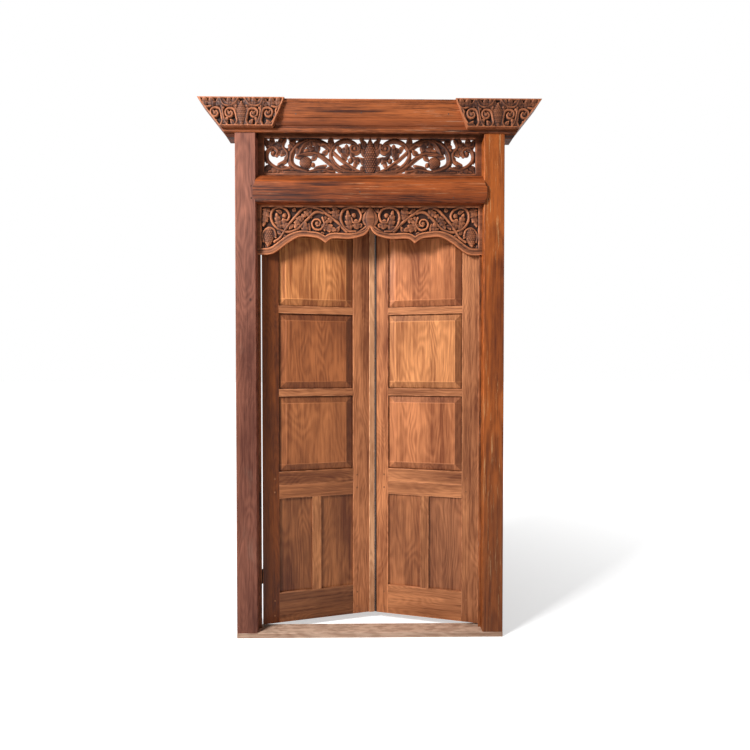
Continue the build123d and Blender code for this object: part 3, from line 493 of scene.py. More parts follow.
def eased_edges(bm, turn, offset):
    """Bevels the outer edges and those of the face, and leaves joints and grooves sharp"""
    places = np.array([turn @ vert.co for vert in bm.verts])
    low, high = places.min(axis=0), places.max(axis=0)
    near = 0.05 * mm
    on_plane = np.hstack([abs(places - low) < near, abs(places - high) < near])
    edges = []
    for edge in bm.edges:
        if not edge.is_manifold or edge.calc_length() < 4 * offset or not edge.is_convex:
            continue
        if edge.calc_face_angle() < radians(20):
            continue
        shared = on_plane[edge.verts[0].index] & on_plane[edge.verts[1].index]
        on_front = shared[1]
        if on_front or shared.sum() >= 2:
            edges.append(edge)
    for face in bevel(bm, edges, offset):
        face.smooth = True


def new_object(bm, name, finish):
    """Object with a material, made from a bmesh that is used up by it"""
    mesh = bpy.data.meshes.new(name)
    bm.to_mesh(mesh)
    bm.free()
    if "custom_normal" in mesh.attributes:
        mesh.attributes.remove(mesh.attributes["custom_normal"])
    mesh.materials.append(finish)
    obj = bpy.data.objects.new(name, mesh)
    bpy.context.collection.objects.link(obj)
    return obj


def measure_board(obj, turn, level, seed, tint, inset=0.0, joint=no_joint, rebate=0.0):
    """Gives a mesh the measures that its wood reads"""
    mesh = obj.data
    count = len(mesh.vertices)
    places = np.empty(count * 3, np.float32)
    mesh.vertices.foreach_get("co", places)
    places = places.reshape(-1, 3) @ np.array(turn, np.float32).T
    places -= places.min(axis=0)
    board = places[:, [2, 1, 0] if level else [0, 1, 2]]
    span = np.tile(board.max(axis=0), (count, 1))
    measures = [("board", "FLOAT_VECTOR", "vector", board), ("span", "FLOAT_VECTOR", "vector", span)]
    for name, value in (("seed", seed), ("inset", inset), ("joint", joint), ("rebate", rebate)):
        measures.append((name, "FLOAT", "value", np.full(count, value)))
    measures.append(("tint", "FLOAT_COLOR", "color", np.tile((*tint, 1.0), (count, 1))))
    for name, kind, field, values in measures:
        mesh.attributes.new(name, kind, "POINT").data.foreach_set(field, values.astype(np.float32).ravel())


def dress_board(node, seed, tint=plain_tint, level=False, offset=1.2 * mm, **marks):
    """Stands a worn, eased copy in for a plain node; the marks are its inset, joint and rebate"""
    turn = board_turn(node)
    bm = merged_copy(node)
    eased_edges(bm, turn, offset)
    if node == "crown_cornice":
        smooth_rounds(bm, radians(16.0))
    obj = new_object(bm, node + "_board", material(slot_of(node)))
    measure_board(obj, turn, level, seed, tint, **marks)
    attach(obj, body_of(node))
    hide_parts(node)


# Whether each board of the frame lies level, its seed, and how light it is beside its neighbours; the head beam's
# dark tint is partly painted shade under the crown
frame_boards = {
    "threshold": (True, 0.11, (0.78, 0.78, 0.84)),
    "left_post": (False, 0.23, (0.73, 0.57, 0.48)),
    "right_post": (False, 0.37, (0.79, 0.58, 0.33)),
    "head_beam": (True, 0.52, (0.55, 0.43, 0.38)),
    "crown_necking": (True, 0.64, (0.95, 0.82, 0.72)),
    "crown_cornice": (True, 0.71, (0.74, 0.58, 0.49)),
    "transom_beam": (True, 0.83, (0.68, 0.46, 0.31)),
    "left_stop_bead": (False, 0.91, (0.9, 0.9, 0.9)),
    "right_stop_bead": (False, 0.19, (1.1, 1.1, 1.1)),
}
# The same for both leaves: level, seed, and how light it is in the left and in the right leaf; the left hinge
# stile's dark tint is painted shadow of the left post
leaf_boards = {
    "hinge_stile": (False, 0.31, (0.33, 0.21, 0.10), plain_tint),
    "meeting_stile": (False, 0.47, (1.0, 0.96, 0.95), (1.28, 1.25, 1.22)),
    "muntin": (False, 0.59, (0.88, 0.90, 0.86), (0.9, 0.9, 0.88)),
    "astragal": (False, 0.05, (1.05, 0.80, 0.62), plain_tint),
    "top_rail": (True, 0.13, plain_tint, plain_tint),
    "upper_rail": (True, 0.27, plain_tint, plain_tint),
    "lower_rail": (True, 0.41, plain_tint, plain_tint),
    "upper_lock_rail": (True, 0.57, (0.71, 0.67, 0.62), plain_tint),
    "lower_lock_rail": (True, 0.69, (0.72, 0.67, 0.62), plain_tint),
    "bottom_rail": (True, 0.79, (0.50, 0.49, 0.49), plain_tint),
    "upper_panel": (False, 0.17, (1.25, 1.22, 1.12), (1.04, 0.92, 0.95)),
    "middle_panel": (False, 0.33, (0.57, 0.45, 0.40), (1.2, 1.2, 1.2)),
    "lower_raised_panel": (False, 0.61, (0.63, 0.53, 0.49), (0.95, 0.85, 0.9)),
    "hinge_side_flat_panel": (False, 0.43, (0.43, 0.37, 0.36), (0.60, 0.55, 0.63)),
    "meeting_side_flat_panel": (False, 0.73, (0.52, 0.46, 0.44), (0.65, 0.58, 0.61)),
}
# What else the wood of a leaf's board shows: its raised field, a joint across it, or a rebate darkened as painted
# shade
raised_field = {"inset": 46.0 * mm}
jointed_field = {"inset": 46.0 * mm, "joint": 235.0 * mm}
leaf_marks = {
    "left_leaf_upper_panel": raised_field,
    "left_leaf_middle_panel": raised_field,
    "left_leaf_lower_raised_panel": raised_field,
    "right_leaf_upper_panel": jointed_field,
    "right_leaf_middle_panel": jointed_field,
    "right_leaf_lower_raised_panel": raised_field,
    "right_leaf_meeting_stile": {"rebate": 10.0 * mm},
}
peg_seed = 0.44
peg_tint = (0.6, 0.6, 0.6)
peg_edge = 0.6 * mm
leaf_edge = 1.0 * mm
right_seed_shift = 0.5  # so that no board of the right leaf repeats one of the left leaf

step_width = 1.8 * mm  # how far the dark step stands past the cover strip
step_thickness = 3.5 * mm
step_clear = 1.3 * mm  # from the face of the leaf behind the strip
step_end = 1.0 * mm  # short of the strip's ends
step_seed = 0.66
# painted shade: the step is tinted near black, as the slot between the leaves lies in shade
step_shade_tint = (0.05, 0.04, 0.035)


def add_meeting_shade_step():
    """Dark step along the cover strip's free edge, which the right leaf closes behind, tinted near black as
    painted shade in the slot between the leaves
    """
    turn = board_turn("left_leaf_astragal")
    places = np.array([turn @ vert.co for vert in nodes["left_leaf_astragal"].data.vertices])
    low, high = places.min(axis=0), places.max(axis=0)
    start = Vector((high[0] - step_thickness, high[1] - step_clear - step_thickness, low[2] + step_end))
    size = Vector((step_width + step_thickness, step_thickness, high[2] - low[2] - 2 * step_end))
    bm = bmesh.new()
    bmesh.ops.create_cube(bm, size=1.0)
    for vert in bm.verts:
        share = vert.co + Vector((0.5, 0.5, 0.5))
        vert.co = turn.inverted() @ (start + share * size)
    bevel(bm, bm.edges[:], 0.5 * mm)
    bmesh.ops.recalc_face_normals(bm, faces=bm.faces)
    obj = new_object(bm, "left_leaf_meeting_step", material("leaf_wood"))
    measure_board(obj, turn, False, step_seed, step_shade_tint)
    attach(obj, "left_leaf")


class TEMPLEDOOR_OT_frame_boards(bpy.types.Operator):
    """Posts, beams, crown mouldings, sill and stop beads in worn wood"""
    bl_idname = "temple_door.frame_boards"
    bl_label = "Frame boards"

    def execute(self, context):
        for node, (level, seed, tint) in frame_boards.items():
            dress_board(node, seed, tint, level)
        dress_board("frame_pegs", peg_seed, peg_tint, offset=peg_edge)
        return {"FINISHED"}


class TEMPLEDOOR_OT_leaf_boards(bpy.types.Operator):
    """Stiles, rails, muntins, panels, pegs and cover strip of both leaves"""
    bl_idname = "temple_door.leaf_boards"
    bl_label = "Leaf boards"

    def execute(self, context):
        for order, body in enumerate(leaf_turn):
            shift = order * right_seed_shift
            for name, (level, seed, *tints) in leaf_boards.items():
                node = f"{body}_{name}"
                if node in nodes:
                    marks = leaf_marks.get(node, {})
                    dress_board(node, seed + shift, tints[order], level, leaf_edge, **marks)
            dress_board(f"{body}_pegs", peg_seed + shift, peg_tint, offset=peg_edge)
        add_meeting_shade_step()
        return {"FINISHED"}


# Carving

# A carved board is worked out over a fine grid, in millimetres from the middle of its motif: how far the wood
# stands in front of the board's back, and how far each point lies inside the wood that is left.
far = 50.0  # further inside or outside the wood than any edge matters


def curl(x, z, r0, r1, start, turn, steps):
    """Points of a spiral about (x, z) whose radius goes from r0 to r1 over a turn in degrees"""
    points = []
    for step in range(steps + 1):
        share = step / steps
        r, a = r0 + (r1 - r0) * share, radians(start + turn * share)
        points.append((x + r * cos(a), z + r * sin(a)))
    return points


def flowing(points, spacing=3.0):
    """Close points on a smooth line through the given ones"""
    ends = [points[0]] + list(points) + [points[-1]]
    line = []
    for a, b, c, d in zip(ends, ends[1:], ends[2:], ends[3:]):
        steps = max(1, round(hypot(c[0] - b[0], c[1] - b[1]) / spacing))
        for step in range(steps):
            t = step / steps
            line.append(tuple(0.5 * (2 * q + (r - p) * t + (2 * p - 5 * q + 4 * r - s) * t ** 2
                                     + (3 * q - p - 3 * r + s) * t ** 3)
                              for p, q, r, s in zip(a, b, c, d)))
    return line + [tuple(points[-1])]


def inside_outline(x, z, outline):
    """How far each point lies inside a closed outline, negative outside it"""
    gap = np.full(x.shape, 1e6)
    odd = np.zeros(x.shape, bool)
    for (ax, az), (bx, bz) in zip(outline, outline[1:] + outline[:1]):
        dx, dz = bx - ax, bz - az
        share = np.clip(((x - ax) * dx + (z - az) * dz) / (dx * dx + dz * dz), 0, 1)
        gap = np.minimum(gap, np.hypot(x - ax - share * dx, z - az - share * dz))
        if dz:
            odd ^= ((az > z) != (bz > z)) & (x < ax + (z - az) * dx / dz)
    return np.where(odd, gap, -gap)


class Carving:
    """Heights of a carved face, built up from vines, leaves, buds and berries

    Where it is pierced only what is added to it is wood, and otherwise there is wood all over its ground.
    """

    def __init__(self, x0, x1, z0, z1, cell, ground, pierced):
        self.cell = cell
        self.pierced = pierced
        self.columns, self.rows = round((x1 - x0) / cell), round((z1 - z0) / cell)
        self.x, self.z = np.meshgrid(np.linspace(x0, x1, self.columns + 1),
                                     np.linspace(z0, z1, self.rows + 1))
        self.height = np.full(self.x.shape, float(ground))
        self.inside = np.full(self.x.shape, -far if pierced else far)
        self.ground = ground

    def window(self, xs, zs, reach):
        """Part of the grid around some points"""
        spans = []
        for values, start, count in ((zs, self.z[0, 0], self.rows), (xs, self.x[0, 0], self.columns)):
            low = int((min(values) - reach - start) / self.cell)
            high = int((max(values) + reach - start) / self.cell) + 2
            spans.append(slice(max(0, min(low, count)), max(0, min(high, count + 1))))
        return tuple(spans)

    def press(self, area, inside, height):
        """Adds a shape to the face; the higher wood wins"""
        held, old = self.height[area], self.inside[area]
        own = inside > 0
        over = own & ((height > held) | (old <= 0))
        if self.pierced:
            over |= ~own & (old <= 0) & (inside > old)
            self.inside[area] = np.maximum(old, inside)
        self.height[area] = np.where(over, height, held)

    def vine(self, points, width, end_width, level, end_level=None):
        """Round stem with a bead down its middle, from one width and level to another"""
        line = flowing(points)
        end_level = level if end_level is None else end_level
        for i, (a, b) in enumerate(zip(line, line[1:])):
            share = i / (len(line) - 1)
            half = (width + (end_width - width) * share) / 2
            top = level + (end_level - level) * share
            area = self.window((a[0], b[0]), (a[1], b[1]), half + 2 * self.cell)
            px, pz = self.x[area] - a[0], self.z[area] - a[1]
            dx, dz = b[0] - a[0], b[1] - a[1]
            t = np.clip((px * dx + pz * dz) / max(dx * dx + dz * dz, 1e-9), 0, 1)
            gap = np.hypot(px - t * dx, pz - t * dz)
            u = np.minimum(gap / half, 1.0)
            height = top - 0.55 * half * u ** 2.5 - 0.16 * half * np.exp(-((u - 0.52) / 0.17) ** 2)
            self.press(area, half - gap, height)

    def leaf(self, x, z, tip_x, tip_z, width, level, kind="plain", bend=0.0, lift=3.0):
        """Leaf with a vein down its middle, bud or drop, from its foot to its tip; lift raises the tip"""
        dx, dz = tip_x - x, tip_z - z
        length = hypot(dx, dz)
        area = self.window((x, tip_x), (z, tip_z), width + abs(bend) * length)
        px, pz = self.x[area] - x, self.z[area] - z
        along = (px * dx + pz * dz) / length ** 2
        s = np.clip(along, 0.0, 1.0)
        w = (pz * dx - px * dz) / length - bend * length * np.sin(pi * s)
        lobes = max(2, round(length / 24))
        notch = (s * lobes) % 1.0
        if kind in ("bud", "drop"):
            half = width / 2 * np.sin(pi * np.minimum(0.16 + 0.84 * s ** 0.85, 1.0)) ** 0.75
        elif kind == "lobed":
            half = width / 2 * np.sin(pi * (0.10 + 0.90 * s ** 0.8)) ** 0.6 * (0.60 + 0.42 * notch ** 0.8)
        else:
            half = width / 2 * np.sin(pi * (0.09 + 0.91 * s ** 0.8)) ** 0.8
        half = np.maximum(half, 0.4)
        inside = np.minimum(half - abs(w), length * np.minimum(along + 0.03, 1.0 - along) + 0.3)
        u = np.clip(abs(w) / half, 0.0, 1.0)
        height = level + lift * (s - 0.5) - min(3.0, width * 0.13) * u ** 2.2
        if kind == "bud":
            pitch = width / 5.5
            row = np.floor(s * length / pitch)
            rise = s * length / pitch - row
            lane = w / pitch + 0.5 * (row % 2)
            lane = abs(lane - np.round(lane)) * 2
            scale = 1.0 - np.clip(np.hypot(lane, rise), 0, 1.1)
            height = height - width * 0.05 * u ** 2 + 0.28 * pitch * scale
        elif kind == "drop":
            height = height + 1.0 - 3.0 * u ** 2 - 1.6 * np.exp(-((u - 0.62) / 0.07) ** 2)
        else:
            height = height - 1.4 * np.exp(-(w / 1.5) ** 2) * (1.0 - 0.6 * s)
            if kind == "lobed":
                height = height + 1.1 * np.sin(pi * np.clip(notch - 0.5 * u, 0, 1)) - 0.5
            else:
                height = height - 0.5 * np.cos(2 * pi * (s * length / 9.0 - u * 0.9)) * u
        self.press(area, inside, height)

    def berry(self, x, z, radius, level, petals=0):
        """Round boss: plain, cut into a number of petals, or netted like a fruit when that is negative"""
        area = self.window((x, x), (z, z), radius + 2 * self.cell)
        px, pz = self.x[area] - x, self.z[area] - z
        gap = np.hypot(px, pz)
        u = np.minimum(gap / radius, 1.0)
        height = level - min(radius, 12.0) * 0.8 * (1.0 - np.sqrt(1.0 - 0.98 * u ** 2))
        if petals > 0:
            height = height - 1.3 * abs(np.cos(petals / 2 * np.arctan2(pz, px))) * np.minimum(u * 1.6, 1.0)
        if petals < 0:
            net = abs(np.sin((px + pz) / 4.2) * np.sin((px - pz) / 4.2))
            height = height + 1.6 * net - 0.8
        self.press(area, radius - gap, height)

    def band(self, inside, height):
        """Adds a border from its inside distances, with a small round on its edges"""
        eased = height - 1.6 * np.clip(1.0 - inside / 2.2, 0.0, 1.0) ** 2
        self.press((slice(None), slice(None)), inside, eased)

    def layout(self, vines, leaves, lobed, buds, discs, level):
        """A whole motif and its mirror image, carved down from one level"""
        for side in (1, -1):
            for x, z, tip_x, tip_z, width in leaves:
                self.leaf(side * x, z, side * tip_x, tip_z, width, level - 3.6, bend=side * 0.08)
            for x, z, tip_x, tip_z, width in lobed:
                self.leaf(side * x, z, side * tip_x, tip_z, width, level - 1.8, "lobed")
            for order, (points, width, end_width) in enumerate(vines):
                start = level - 1.6 + 0.4 * (order % 4)
                self.vine([(side * x, z) for x, z in points], width, end_width, start, level - 0.6)
            for x, z, tip_x, tip_z, width in buds:
                self.leaf(side * x, z, side * tip_x, tip_z, width, level, "bud", lift=1.0)
            for x, z, radius in discs:
                self.berry(side * x, z, radius, level + 0.4, -1 if radius > 14 else 5)

    def relief(self):
        """How high each point stands beside what is round it, from 0 to 1"""
        low = float(self.ground) - 8.0 if self.pierced else float(self.ground)
        field = np.where(self.inside > 0, self.height, low)
        reach = max(2, round(7.0 / self.cell))
        blurred = np.pad(field, reach, mode="edge")
        for axis in (0, 1):
            total = np.cumsum(blurred, axis=axis)
            count = total.shape[axis]
            upper = np.take(total, range(2 * reach, count), axis=axis)
            lower = np.take(total, range(0, count - 2 * reach), axis=axis)
            first = np.take(blurred, range(0, count - 2 * reach), axis=axis)
            blurred = (upper - lower + first) / (2 * reach + 1)
        shape = self.height.shape
        return np.clip(0.40 + (self.height - blurred[:shape[0], :shape[1]]) / 11.0
                       + (self.height - self.height.max()) / 60.0, 0.0, 1.0)

    def surface(self, place, mirrored):
        """Bmesh of the front face, its edges drawn to the outlines and its holes cut out"""
        slope_z, slope_x = np.gradient(self.inside, self.cell)
        steep = np.maximum(np.hypot(slope_x, slope_z), 0.35)
        near = abs(self.inside) / steep < 0.62 * self.cell
        move = np.where(near, -self.inside / steep ** 2, 0.0)
        x = self.x + np.clip(move * slope_x, -0.8 * self.cell, 0.8 * self.cell)
        z = self.z + np.clip(move * slope_z, -0.8 * self.cell, 0.8 * self.cell)
        if mirrored:
            x[:, 0] = 0.0
        x[:, -1] = self.x[:, -1]
        z[0], z[-1] = self.z[0], self.z[-1]
        kept = np.where(near, 0.0, self.inside)
        relief = self.relief()
        bm = bmesh.new()
        bmesh.ops.create_grid(bm, x_segments=self.columns, y_segments=self.rows, size=0.5)
        bm.verts.ensure_lookup_table()
        layer = bm.verts.layers.float.new("relief")
        value = {}
        for vert in bm.verts:
            i, j = round((vert.co.y + 0.5) * self.rows), round((vert.co.x + 0.5) * self.columns)
            value[vert] = kept[i, j]
            vert[layer] = relief[i, j]
            vert.co = place(x[i, j], z[i, j], self.height[i, j])
        waste = []
        for face in bm.faces[:]:
            values = [value[v] for v in face.verts]
            if max(values) <= 0 or (min(values) < 0 and sum(values) < 0 and values.count(0.0) < 2):
                waste.append(face)
            elif min(values) < 0 and values.count(0.0) == 2:
                zeros = [v for v in face.verts if value[v] == 0.0]
                if values[0] * values[2] < 0 or values[1] * values[3] < 0:
                    half, _ = bmesh.utils.face_split(face, *zeros)
                    waste.append(next(f for f in (face, half) if min(value[v] for v in f.verts) < 0))
                elif sum(values) < 0:
                    waste.append(face)
        bmesh.ops.delete(bm, geom=waste, context="FACES")
        if mirrored:
            bmesh.ops.mirror(bm, geom=bm.verts[:] + bm.edges[:] + bm.faces[:], matrix=Matrix.Identity(4),
                             merge_dist=0.001 * mm, axis="X")
            bmesh.ops.remove_doubles(bm, verts=bm.verts, dist=0.01 * mm)
        return bm, layer


def close_board(bm, layer, back_y, pierced):
    """Carries a carved face straight back to a flat back, with its holes if it is pierced"""
    for edge in bm.edges:
        edge.smooth = not edge.is_boundary
    for face in bm.faces:
        face.smooth = True
    if pierced:
        grown = bmesh.ops.extrude_face_region(bm, geom=bm.verts[:] + bm.edges[:] + bm.faces[:])["geom"]
    else:
        grown = bmesh.ops.extrude_edge_only(bm, edges=[edge for edge in bm.edges if edge.is_boundary])["geom"]
    back = [item for item in grown if isinstance(item, bmesh.types.BMVert)]
    for vert in back:
        vert.co.y = back_y
        vert[layer] = 0.5
    behind = set(back)
    flat = [edge for edge in bm.edges if edge.verts[0] in behind and edge.verts[1] in behind]
    if pierced:
        bmesh.ops.dissolve_limit(bm, angle_limit=radians(1.0), use_dissolve_boundaries=False, verts=back,
                                 edges=flat, delimit=set())
    else:
        bmesh.ops.holes_fill(bm, edges=flat, sides=0)
    for face in bm.faces:
        face.smooth = face.smooth and not any(vert in behind for vert in face.verts)
    bmesh.ops.recalc_face_normals(bm, faces=bm.faces)


# A vine is its points and its width at the start and at the end. A leaf or bud is its foot, its tip and its
# width, and a disc its middle and its radius.

# Right half of the transom grille, from the middle of its pierced field
grille_vines = [
    # great ring, rolling in to its volute
    (curl(125, 2, 80, 76, -100, 250, 9) + curl(82, 40, 32, 11, 150, 330, 7), 18, 13),
    # long stem that feeds the ring
    ([(372, 4), (318, 14), (268, 8), (222, -24), (176, -62), (118, -86)], 16, 20),
    # thin stems across the ring
    ([(190, 18), (150, -18), (110, -48), (70, -74), (34, -86)], 12, 11),
    ([(60, -80), (96, -84), (130, -76), (176, -44), (202, -6)], 13, 12),
    # arch over the long stem
    ([(206, 36), (238, 62), (284, 79), (328, 70), (352, 42), (366, 10)], 26, 20),
    # thick outer scroll
    ([(322, 82), (366, 62), (398, 30), (412, -12), (402, -48), (370, -68), (330, -80)], 24, 30),
    # foot stem under the ball
    ([(440, -84), (380, -86), (320, -84), (250, -70), (190, -82)], 14, 18),
    # end ring, rolling in
    ([(414, -62), (462, -70), (505, -50), (531, -20), (534, 12), (518, 38), (494, 42), (478, 24), (484, 4)],
     16, 12),
    ([(440, 84), (452, 50), (428, 14), (432, -20), (470, -46)], 12, 14),
]
grille_leaves = [
    (30, 42, 46, 86, 30), (24, 4, 52, 36, 26), (28, -40, 56, -8, 26), (26, -52, 48, -84, 26),
    (60, -30, 92, -6, 22), (96, -64, 150, -50, 22), (140, 40, 118, 4, 24), (150, 20, 176, 52, 20),
    (124, -14, 152, 16, 26), (88, -6, 106, 24, 22), (196, -60, 232, -84, 24), (286, -66, 226, -46, 26),
    (270, 26, 288, 66, 30), (322, 28, 306, 66, 26), (246, 12, 216, 34, 20), (366, 8, 388, 44, 26),
    (396, -84, 420, -58, 24), (350, -8, 386, -6, 18), (404, 88, 392, 50, 30), (424, 34, 462, 2, 30),
    (512, -52, 544, -86, 32), (536, -30, 548, 30, 18), (524, 40, 546, 88, 26), (476, 40, 470, 8, 18),
    (420, 0, 440, -34, 22), (300, -18, 276, 12, 18), (238, -84, 300, -88, 20), (350, 88, 420, 86, 16),
]
grille_lobed = [
    (203, 36, 203, 92, 46), (350, 92, 232, 56, 40), (480, 28, 456, 88, 46), (514, 30, 504, 92, 48),
    (300, -78, 228, -80, 34), (120, 4, 122, 58, 34), (70, -84, 140, -84, 24), (434, -60, 530, -84, 40),
    (392, 78, 420, 24, 34), (286, 40, 340, 22, 30), (62, -8, 84, -58, 30),
]
grille_buds = [(0, -94, 0, 88, 66)]
grille_discs = [(102, -22, 11), (333, -34, 30), (500, 14, 12), (80, 40, 9), (44, 88, 9), (296, -44, 9)]


# Right half of the valance, from the middle of its top edge
# Its lower edge is two sweeps that meet at a cusp, as (x, z, height of the rim there).
valance_inner_sweep = [(0, -110, 7), (14, -134, 14), (40, -153, 21), (103, -168, 26), (192, -167, 27),
                       (229, -190, 27)]
valance_outer_sweep = [(229, -190, 27), (262, -168, 27), (300, -160, 27), (362, -159, 28), (421, -190, 33),
                       (500, -245, 33), (576, -250, 32)]
valance_vines = [
    # second stem, sweeping up into the great ring
    ([(240, -38), (262, -32), (290, -40), (328, -77), (365, -114), (402, -133), (440, -132), (478, -114),
      (503, -80), (506, -42), (488, -15), (458, -9), (428, -24), (414, -52), (424, -76), (444, -72)], 15, 12),
    # wave stem
    ([(120, -134), (138, -116), (166, -86), (222, -44), (265, -15), (308, -9), (346, -20), (376, -50),
      (412, -92), (436, -126), (462, -166), (490, -184)], 15, 13),
    # rosette scroll under the wave
    (curl(271, -92, 40, 11, 132, 500, 9), 12, 9),
    # inner ring
    ([(76, -134), (112, -128), (140, -102), (151, -60), (138, -24), (104, -9), (64, -18), (46, -52),
      (60, -84), (86, -86), (96, -64)], 15, 11),
    # hook over the corner bud
    ([(546, -182), (550, -146), (522, -116), (492, -126), (484, -152)], 14, 12),
    # rim of the centre piece
    ([(100, -152), (62, -138), (30, -116), (8, -96)], 16, 13),
]
valance_leaves = [
    (22, -12, 44, -38, 26), (14, -98, 40, -74, 24), (60, -110, 40, -92, 20), (158, -46, 196, -12, 30),
    (150, -82, 164, -44, 22), (230, -16, 196, -40, 22), (226, -56, 238, -84, 20), (300, -62, 326, -30, 22),
    (316, -92, 306, -132, 22), (352, -84, 348, -40, 20), (396, -30, 384, -10, 22), (392, -98, 416, -124, 22),
    (452, -40, 482, -26, 22), (470, -126, 456, -150, 24), (500, -136, 478, -168, 20),
    (556, -100, 532, -60, 24), (556, -200, 546, -236, 24), (536, -204, 510, -218, 20),
    (446, -150, 424, -164, 18), (180, -134, 156, -104, 22), (236, -140, 256, -150, 20),
    (330, -140, 372, -142, 20),
]
valance_lobed = [
    (524, -4, 548, -108, 50), (104, -128, 116, -24, 42), (66, -118, 74, -70, 48), (172, -70, 182, -4, 50),
    (248, -100, 172, -128, 50), (190, -64, 232, -90, 32), (332, -142, 332, -84, 44), (300, -18, 344, -60, 42),
    (356, -56, 386, -118, 44), (428, -122, 446, -66, 46), (460, -122, 480, -40, 42), (0, -100, 0, -168, 34),
]
valance_buds = [(516, -122, 524, -214, 54)]
valance_discs = [(438, -52, 13), (84, -50, 13), (271, -92, 13)]
valance_drops = [(0, -104, 0, -6, 80)]


# Carved block of the crown, from the middle of its foot edge outwards
block_vines = [
    ([(34, 2), (22, 22), (26, 46)] + curl(58, 60, 31, 10, 190, -420, 8), 14, 10),
    ([(104, 2), (94, 24), (98, 46)] + curl(130, 62, 32, 10, 190, -420, 8), 14, 10),
    ([(16, 134), (36, 108), (62, 98), (90, 104), (104, 130)], 11, 9),
    ([(70, 4), (84, 26), (92, 60), (96, 96)], 11, 9),
    ([(186, 100), (170, 76), (170, 50), (152, 20)], 12, 9),
    ([(206, 138), (196, 108), (178, 92), (150, 96)], 12, 10),
]
block_leaves = [
    (4, 20, 24, 2, 18), (40, 4, 56, 32, 22), (84, 2, 72, 32, 22), (60, 44, 70, 76, 18), (16, 92, 30, 138, 30),
    (84, 92, 100, 138, 28), (120, 96, 116, 138, 30), (150, 2, 122, 30, 26), (160, 40, 184, 66, 26),
    (200, 96, 216, 138, 30), (180, 84, 194, 120, 24), (132, 44, 142, 78, 18), (106, 84, 92, 110, 18),
    (0, 2, 14, 30, 18), (112, 0, 150, 16, 20), (60, 84, 46, 104, 18), (20, 60, 34, 92, 20),
]
block_lobed = [
    (62, 92, 60, 140, 44), (144, 92, 150, 140, 48), (180, 96, 182, 140, 44), (96, 8, 66, 40, 30),
    (36, 92, 38, 138, 34), (104, 100, 106, 140, 34),
]
block_buds = [(0, 24, 0, 120, 54)]
block_discs = [(58, 60, 11), (130, 62, 11), (0, 14, 14), (90, 86, 8), (26, 96, 8)]


# How the carved boards lie in their frames, in millimetres
grille_side_border = 38.0  # round the pierced field, tongues included
grille_foot_border = 32.0
grille_head_border = 41.0
grille_web = 2.6  # low web kept along each vine and leaf
grille_ground = 10.0  # heights are in front of the board's back, and this is the ground's
grille_vine_level = 19.0
grille_border_level = 22.0
valance_tongue = 8.0
valance_side_border = 20.0
valance_top_border = 9.0
valance_ground = 1.5  # web left behind the deepest hollows; the carving's paint turns it near black as painted shade, where the openwork would show the shaded leaves
valance_vine_level = 14.5
valance_border_level = 16.0
block_slants = (110.0, 60.0)  # the foot is this far in from the top's outer and inner corner
block_shift = 8.0  # the motif's middle, outward of the block's own
block_rim = 5.0  # width of the rim, and how far it lies behind the block's face
block_ground = 18.0  # from the block's face to the ground behind the scrolls
block_vine_drop = 2.9  # from the block's face to the scrolls
block_skin = 0.2  # left in front of the highest carving


def box_mm(node):
    """Lowest and highest corner of a node in millimetres"""
    return [np.array(corner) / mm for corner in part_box(node)]


def stand_carving(carving, node, origin, seed, tint, side=1, mirrored=True):
    """Stands a closed carved board in for its plain node

    The origin is where the motif's middle and the board's back lie, in millimetres.
    """
    across, back, up = origin
    bm, layer = carving.surface(
        lambda x, z, height: (side * (across + x) * mm, (back - height) * mm, (up + z) * mm), mirrored)
    close_board(bm, layer, back * mm, carving.pierced)
    obj = new_object(bm, node + "_carving", material("carved_wood"))
    measure_board(obj, Matrix.Identity(3), True, seed, tint)
    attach(obj, "frame")
    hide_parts(node)


def carve_grille(cell):
    """Pierced board over the transom beam"""
    low, high = box_mm("transom_grille")
    field_end = high[0] - grille_side_border
    foot, head = low[2] + grille_foot_border, high[2] - grille_head_border
    middle, rise = (foot + head) / 2, (head - foot) / 2
    carving = Carving(0.0, high[0], low[2] - middle, high[2] - middle, cell, grille_ground, True)
    carving.layout(grille_vines, grille_leaves, grille_lobed, grille_buds, grille_discs, grille_vine_level)
    carving.inside += grille_web
    inside = np.maximum(carving.x - field_end, abs(carving.z) - rise)
    carving.band(inside, grille_border_level - 1.3 * np.exp(-((inside - 5.0) / 1.3) ** 2))
    stand_carving(carving, "transom_grille", (0.0, high[1], middle), 0.61, (0.86, 0.78, 0.74))


def carve_valance(cell):
    """Scalloped openwork board under the transom beam, its openings closed by a thin web that is painted near
    black as shade
    """
    low, high = box_mm("valance")
    top = high[2] - valance_tongue
    carving = Carving(0.0, high[0], low[2] - top, valance_tongue, cell, valance_ground, False)
    carving.layout(valance_vines, valance_leaves, valance_lobed, valance_buds, valance_discs,
                   valance_vine_level)
    for entry in valance_drops:
        carving.leaf(*entry, valance_vine_level + 0.5, "drop", lift=0.0)
    # the outline's other sides lie off the board, so that only the scalloped one gets a rim
    left, right, above = -40.0, high[0] + 40.0, 60.0
    line = flowing([(x, z) for x, z, rise in valance_inner_sweep])
    line += flowing([(x, z) for x, z, rise in valance_outer_sweep])[1:]
    edge = line + [(right, line[-1][1]), (right, above), (left, above), (left, line[0][1])]
    inside = inside_outline(carving.x, carving.z, edge)
    rises = sorted(valance_inner_sweep + valance_outer_sweep[1:])
    rim = np.interp(carving.x, [x for x, z, rise in rises], [rise for x, z, rise in rises])
    border = np.maximum(rim - inside, np.maximum(carving.x - high[0] + valance_side_border,
                                                 carving.z + valance_top_border))
    over = np.clip((rim - inside) / rim, 0.0, 1.0)
    roll = 2.6 * over ** 4 + 1.6 * np.exp(-((over - 0.42) / 0.09) ** 2)
    carving.band(border, valance_border_level - roll)
    carving.inside = inside
    stand_carving(carving, "valance", (0.0, high[1], top), 0.72, (1.3, 1.28, 1.25))


